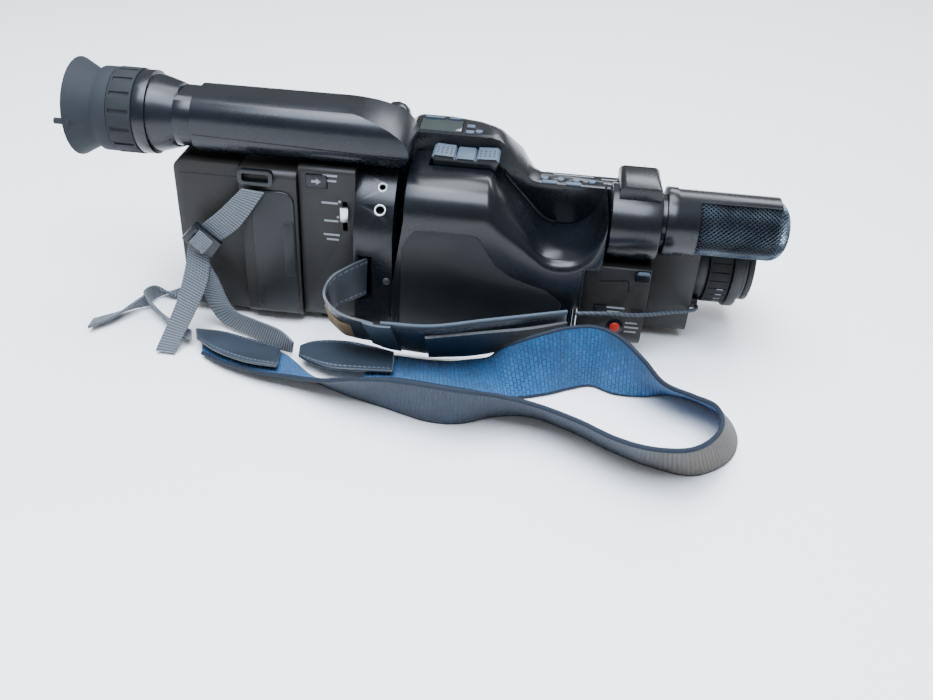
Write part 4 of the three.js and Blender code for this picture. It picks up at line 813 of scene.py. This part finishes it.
dark_vinyl = sewn_vinyl("sewn_dark_vinyl", "#1b1f23", "#2a3036", "#3b434a", 2.4, 22)
band_vinyl = sewn_vinyl("sewn_band_vinyl", "#20252a", "#323a41", "#59636c", 2.2, 16)
hand_band = ribbon("hand_strap_band_vinyl", [(-56.6, -50.5, 46.4), (-63, -60, 46.8), (-71, -68, 43.6),
                                             (-73, -74, 37.8), (-65, -82, 33.8), (-47, -88, 33)],
                   [(-57.4, -50.5, 25.4), (-64, -58.5, 25.8), (-70.6, -63, 23.4), (-71.4, -66.4, 18.6),
                    (-63, -69, 13), (-45, -70, 11)], 48, 12, 1.2, materials=[band_vinyl])
fix_strap(hand_band, node="hand_strap_band")
PAD_TOP = [(-43, -89, 34.5), (-20, -90, 36), (5, -82, 37), (25, -73.5, 36.5), (43.5, -64, 35)]
PAD_FOOT = [(-41, -65.5, 5.5), (-20, -66, 5), (0, -64.5, 7), (20, -63.5, 14), (44, -62.2, 22)]
hand_pad = ribbon("hand_strap_pad_vinyl", PAD_TOP, PAD_FOOT, 56, 22, 2.4, 2.2)
apply_modifier(hand_pad, "SUBSURF", levels=1, render_levels=1)
fix_strap(hand_pad, node="hand_strap_pad", material=dark_vinyl, degrees=60)
# The piping's pale slate colour paints the highlight along the pad's edges; the keeper takes the same vinyl.
highlight_piping_vinyl = ribbed_rubber("slate_vinyl_painted_edge_highlight", "#36414b", "#4a5762")
edge_tube("pad_piping_top", PAD_TOP, 0.9, 60, highlight_piping_vinyl)
edge_tube("pad_piping_foot", PAD_FOOT, 0.9, 60, highlight_piping_vinyl)
keeper = ribbon("hand_strap_keeper", [(-52, -87.6, 33), (-45, -90.4, 33.6), (-38, -91.4, 34.4)],
                [(-50, -70.2, 10.2), (-43, -69.6, 7.4), (-36, -68.2, 5.6)], 14, 10, 1.0, 0.3)
fix_strap(keeper, material=highlight_piping_vinyl, degrees=60)
tan_tape = moulded_plastic("tan_lining_tape", "#6d5a41", "#a38a66", 0.8, 0.9, 0.2, patch_mm=6.0)
band_lining = ribbon("hand_strap_lining", [(-73.2, -72, 30.6), (-65, -78.3, 26), (-59.5, -79.6, 25.6)],
                     [(-72.2, -67.6, 19.1), (-63.8, -70.5, 13.5), (-58.8, -70.9, 12.9)], 24, 4, 0.6,
                     materials=[tan_tape])
fix_strap(band_lining, degrees=60)
hand_flap = ribbon("hand_strap_flap_vinyl", [(-22, -89.2, 29), (5, -82, 30.4), (26, -75.2, 30.7),
                                             (44, -67, 31)],
                   [(-22, -71.4, 6), (0, -69, 8), (20, -67.6, 14), (44, -66, 23)], 40, 12, 1.4,
                   materials=[dark_vinyl])
fix_strap(hand_flap, node="hand_strap_flap")


# ---- shoulder strap -------------------------------------------------------------------
# A broad strap of coarse nylon, bright blue on its inner face, navy on its outer face and
# bound along both edges. Vinyl tabs join it to ribbed webbing that runs to the loops.
def woven_strap(name, dark, pale, thread_mm, width_mm, painted_light_tone=None):
    """Coarse woven nylon: threads over and under on a diagonal, each a small rounded bump. The
    painted light tone is what the face turns to towards its front loop: painted light where the loop is
    brightly lit."""
    material, tree, place, uv_place = start_material(name)
    size = width_mm / thread_mm
    flat = add_node(tree, "Mapping", {"Vector": uv_place, "Scale": (size, size, 1)})
    check = add_node(tree, "TexBrick", {"Vector": flat.outputs["Vector"], "Color1": (1, 1, 1, 1),
                                        "Color2": (0.6, 0.6, 0.6, 1), "Mortar": (0, 0, 0, 1), "Scale": 1.0,
                                        "Mortar Size": 0.12, "Mortar Smooth": 1.0, "Brick Width": 1.6,
                                        "Row Height": 1.0})
    check.offset = 0.5
    dust = add_node(tree, "TexNoise", {"Vector": place, "Scale": 60.0, "Detail": 5.0})
    tone = add_node(tree, "Math", {0: check.outputs["Color"], 1: dust.outputs["Fac"]}, operation="MULTIPLY")
    level = add_node(tree, "MapRange", {"Value": tone.outputs[0], "From Min": 0.0, "From Max": 0.6})
    colour = add_node(tree, "Mix", {"Factor": level.outputs["Result"], "A": linear(dark), "B": linear(pale)},
                      data_type="RGBA")
    # Paler towards the front loop along X: painted light on the loop's brightly lit face.
    if painted_light_tone:
        parts = add_node(tree, "SeparateXYZ", {"Vector": place})
        toward_lit_loop = add_node(tree, "MapRange", {"Value": parts.outputs["X"], "From Min": 0.066, "From Max": 0.1})
        colour = add_node(tree, "Mix", {"Factor": toward_lit_loop.outputs["Result"], "A": colour.outputs["Result"],
                                        "B": linear(painted_light_tone)}, data_type="RGBA")
    bump = add_node(tree, "Bump", {"Height": check.outputs["Color"], "Distance": 0.6 * MM, "Strength": 1.0})
    return finish_material(material, {"Roughness": 0.85, "Sheen Weight": 0.08,
                                      "Base Color": colour.outputs["Result"],
                                      "Normal": bump.outputs["Normal"]})


blue_twill = woven_strap("blue_twill_face", "#042c4a", "#0a5a8e", 2.0, 31)
# The slate face turns grey-brown towards its front loop as painted light.
navy_twill = woven_strap("slate_twill_face", "#071320", "#142a40", 2.0, 31, painted_light_tone="#49433b")
bound_edge = woven_strap("navy_bound_edge", "#0a121c", "#18222e", 1.2, 31)
WIDE_A = [(-52, -66, 1.3), (-38.6, -68.7, 1.3), (-14, -69.7, 1.4), (-1, -67, 2.4), (7.6, -69.5, 6.6),
          (15.7, -76, 18.6), (31, -79, 29.6), (46, -72.6, 31.5), (58, -71, 32), (68.7, -77.2, 31.8),
          (79.7, -89, 28.6), (89.8, -97, 22), (103.4, -102, 20), (111.5, -110, 22), (113, -122.7, 23.8),
          (108, -137, 25.4), (96, -149, 27), (80, -149.5, 26), (66, -144.2, 25), (49.6, -133, 23.8),
          (31, -124, 23), (15.7, -123.2, 25), (-1, -127, 28.6), (-14, -126.4, 29), (-33.6, -121, 26),
          (-50, -117.5, 22), (-68, -110.5, 14), (-84, -104, 9.5), (-101, -99.4, 6.8), (-120.6, -91.6, 4.8),
          (-133, -83, 2.6)]
WIDE_B = [(-49.5, -96, 6.4), (-34.8, -98.3, 9.6), (-9.9, -99, 8.6), (4.7, -96.2, 5.3), (12.8, -94, 2.4),
          (20.9, -92, 1.3), (36.6, -86, 1.3), (49, -79, 1.3), (59, -75, 1.3), (70, -79.6, 1.3),
          (83, -79.6, 1.3), (96.6, -76, 1.3), (112, -80, 1.3), (122.5, -91, 1.3), (125.4, -106, 1.3),
          (119.5, -122, 1.3), (103.4, -133.5, 1.3), (84.6, -130.4, 1.3), (68.4, -123, 1.3),
          (49.4, -111.6, 1.3), (30, -104, 1.3), (14, -106.5, 1.3), (-1.8, -114.2, 1.3), (-15.6, -115.2, 1.3),
          (-38.2, -108, 1.3), (-56, -102, 1.3), (-76, -92.5, 1.3), (-94.4, -76.5, 1.3), (-111.2, -70.8, 1.3),
          (-127.4, -66.4, 1.3), (-138, -69, 1.3)]
wide_strap = ribbon("shoulder_strap_padded", WIDE_A, WIDE_B, 320, 16, 2.0,
                    materials=[navy_twill, blue_twill, bound_edge], rim=2)
fix_strap(wide_strap, "strap_wide")
binding_tape = moulded_plastic("navy_binding_tape", "#0b141f", "#1a2735", 0.8, 1.2, 0.25, patch_mm=10)
edge_tube("strap_binding_upper", WIDE_A, 1.15, 420, binding_tape)
edge_tube("strap_binding_lower", WIDE_B, 1.15, 420, binding_tape)


def ribbed_webbing(name, dark, pale, rib_mm, width_mm):
    """Flat nylon webbing: strong cross ribs about a millimetre apart, with dusty crests."""
    material, tree, _, uv_place = start_material(name)
    flat = add_node(tree, "Mapping", {"Vector": uv_place,
                                      "Scale": (2 * width_mm / rib_mm, width_mm / rib_mm, 1)})
    parts = add_node(tree, "SeparateXYZ", {"Vector": flat.outputs["Vector"]})
    turn = add_node(tree, "Math", {0: parts.outputs["Y"], 1: 2 * math.pi}, operation="MULTIPLY")
    rib = add_node(tree, "Math", {0: turn.outputs[0]}, operation="SINE")
    cross = add_node(tree, "Math", {0: parts.outputs["X"], 1: math.pi}, operation="MULTIPLY")
    thread = add_node(tree, "Math", {0: cross.outputs[0]}, operation="SINE")
    faint = add_node(tree, "Math", {0: thread.outputs[0], 1: 0.3}, operation="MULTIPLY")
    height = add_node(tree, "Math", {0: rib.outputs[0], 1: faint.outputs[0]}, operation="ADD")
    level = add_node(tree, "MapRange", {"Value": height.outputs[0], "From Min": -1.3, "From Max": 1.3})
    colour = add_node(tree, "Mix", {"Factor": level.outputs["Result"], "A": linear(dark), "B": linear(pale)},
                      data_type="RGBA")
    bump = add_node(tree, "Bump", {"Height": height.outputs[0], "Distance": 0.2 * MM, "Strength": 0.7})
    return finish_material(material, {"Roughness": 0.7, "Sheen Weight": 0.2,
                                      "Base Color": colour.outputs["Result"],
                                      "Normal": bump.outputs["Normal"]})


strap_webbing = ribbed_webbing("ribbed_grey_webbing", "#23282c", "#646c73", 1.5, 12)
LEG_RIGHT = ([(-117, -50, 77.4), (-129, -51, 65), (-141.5, -51.5, 53), (-146.5, -52, 43), (-143, -53, 30),
              (-139, -55, 17), (-132, -56.5, 5), (-116, -62.6, 1.8), (-100.3, -70.9, 1.8), (-90, -75, 2.6)],
             [(-106, -50, 76.4), (-119.5, -51.5, 57.5), (-132.5, -52, 46), (-136, -52.5, 38),
              (-131.5, -54, 27), (-127.5, -55.5, 17), (-123, -58.5, 13), (-111, -64.6, 12.8),
              (-96.5, -71.6, 12.8), (-88, -79, 11.5)])
TAIL_RIGHT = ([(-146.4, -52, 44), (-147, -56, 36), (-150, -66, 20.6), (-156.5, -84, 1.8)],
              [(-135.8, -52.4, 40), (-136, -56.6, 30), (-140.6, -66, 15.8), (-147.3, -84, 1.4)])
LEG_LEFT = ([(-143.5, -68, 5), (-153, -60.5, 2), (-162, -53.5, 1.4), (-171, -47.5, 1.4),
             (-175.4, -41.5, 1.4), (-173, -33.5, 1.3), (-166, -25, 1.1), (-157, -15, 0.9), (-147.5, -4, 0.9),
             (-140, 14, 0.9), (-136, 30, 0.9), (-134.5, 41, 2.8), (-132, 44, 14), (-125, 43.5, 45),
             (-117, 41, 76.4)],
            [(-140.5, -77, 5.4), (-151, -70, 4.6), (-162, -59.5, 7.5), (-171.5, -51, 9.4),
             (-176.6, -43.5, 10), (-174, -36, 9), (-163, -34.5, 2.4), (-150.5, -25.5, 1),
             (-137.5, -10.5, 0.9), (-128.5, 11, 0.9), (-124, 29, 0.9), (-122.5, 41, 2.8), (-120, 44, 14),
             (-113, 43.5, 45), (-105, 41, 76.4)])
TAIL_LEFT = ([(-174.3, -43.4, 1.5), (-181, -47, 1.5), (-188, -53, 1.3), (-198, -61.5, 1.3)],
             [(-175.4, -46, 9.3), (-180.5, -53.6, 7), (-186.5, -63, 4.6), (-195.5, -73, 3.8)])
for name, edges, steps, node in (("webbing_leg_right", LEG_RIGHT, 120, "strap_webbing_right"),
                                 ("webbing_tail_right", TAIL_RIGHT, 48, None),
                                 ("webbing_leg_left", LEG_LEFT, 150, "strap_webbing_left"),
                                 ("webbing_tail_left", TAIL_LEFT, 40, None)):
    leg = ribbon(name, *edges, steps, 8, 1.2, materials=[strap_webbing])
    fix_strap(leg, node)

tab_vinyl = sewn_vinyl("sewn_slate_vinyl", "#1c2229", "#303a44", "#66727d", 2.4, 27)
TAB_RIGHT = ([(-86.5, -73.5, 5.6), (-81, -67.5, 5), (-66.3, -63.5, 4.4), (-53, -65, 4.2),
              (-39.5, -69.1, 4.4)],
             [(-84.5, -84, 7.4), (-77.5, -88, 7.4), (-67, -93, 8.4), (-51.2, -95, 10.4),
              (-35.6, -97.5, 13.4)])
TAB_LEFT = ([(-90, -101, 12.2), (-106, -98, 11), (-123.5, -90, 9.8), (-137, -78.5, 8)],
            [(-95.5, -74.5, 4.6), (-111, -70.6, 4.4), (-127, -66.6, 4.9), (-141.5, -67.6, 5.6)])
for name, edges, node in (("strap_tab_right_vinyl", TAB_RIGHT, "strap_tab_right"),
                          ("strap_tab_left_vinyl", TAB_LEFT, "strap_tab_left")):
    tab = ribbon(name, *edges, 44, 20, 1.6, 0.5)
    apply_modifier(tab, "SUBSURF", levels=1, render_levels=1)
    fix_strap(tab, node=node, material=tab_vinyl, degrees=60)


# ---- buckle ---------------------------------------------------------------------------
# A moulded ladder-lock slider on the right webbing: a frame with a raised bar at each end,
# a rib between them and the webbing folded over its middle.
moulded_copy("strap_buckle_right", "buckle_frame", polished_abs, 0.6)
buckle_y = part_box("strap_buckle_right")[0].y / MM
for i, line in enumerate(([(-146.2, 50.6), (-139.6, 58.2), (-138.2, 57.0), (-144.8, 49.4)],
                          [(-134.4, 52.0), (-133.2, 50.8), (-139.6, 43.4), (-140.8, 44.6)],
                          [(-140.2, 54.4), (-139.0, 53.2), (-142.8, 48.8), (-144.0, 50.0)])):
    settle(plate(f"buckle_bar_{i + 1}", line, 1, buckle_y + 0.2, -1.1, 0.4, 2), "body",
           polished_abs)
bar_wrap = ribbon("webbing_over_bar", [(-137.5, -56.3, 56.5), (-140.5, -58.2, 53), (-143.5, -56.3, 49.5)],
                  [(-131.5, -56.3, 50.5), (-134.5, -58.2, 47), (-137.5, -56.3, 43.5)], 16, 6, 1.0,
                  materials=[strap_webbing])
fix_strap(bar_wrap, degrees=60)


# ---- works inside ---------------------------------------------------------------------
# The cassette deck and boards, seen when the door is open: stamped steel, a machined head
# drum, moulded reel spindles and green glass-fibre boards.
glass_fibre = moulded_plastic("green_glass_fibre_board", "#0c3a22", "#15502f", 0.45, 1.5, 0.05, patch_mm=6.0)
INSIDE = {"tripod_socket": stamped_steel, "cassette_holder": stamped_steel, "deck_chassis": stamped_steel,
          "head_drum": chrome_plate, "supply_spindle": textured_abs, "takeup_spindle": textured_abs,
          "main_board": glass_fibre, "sensor_board": glass_fibre, "viewfinder_display": side_abs}
for node, material in INSIDE.items():
    moulded_copy(node, node + "_finished", material, 0.2 if node != "head_drum" else 0.3)
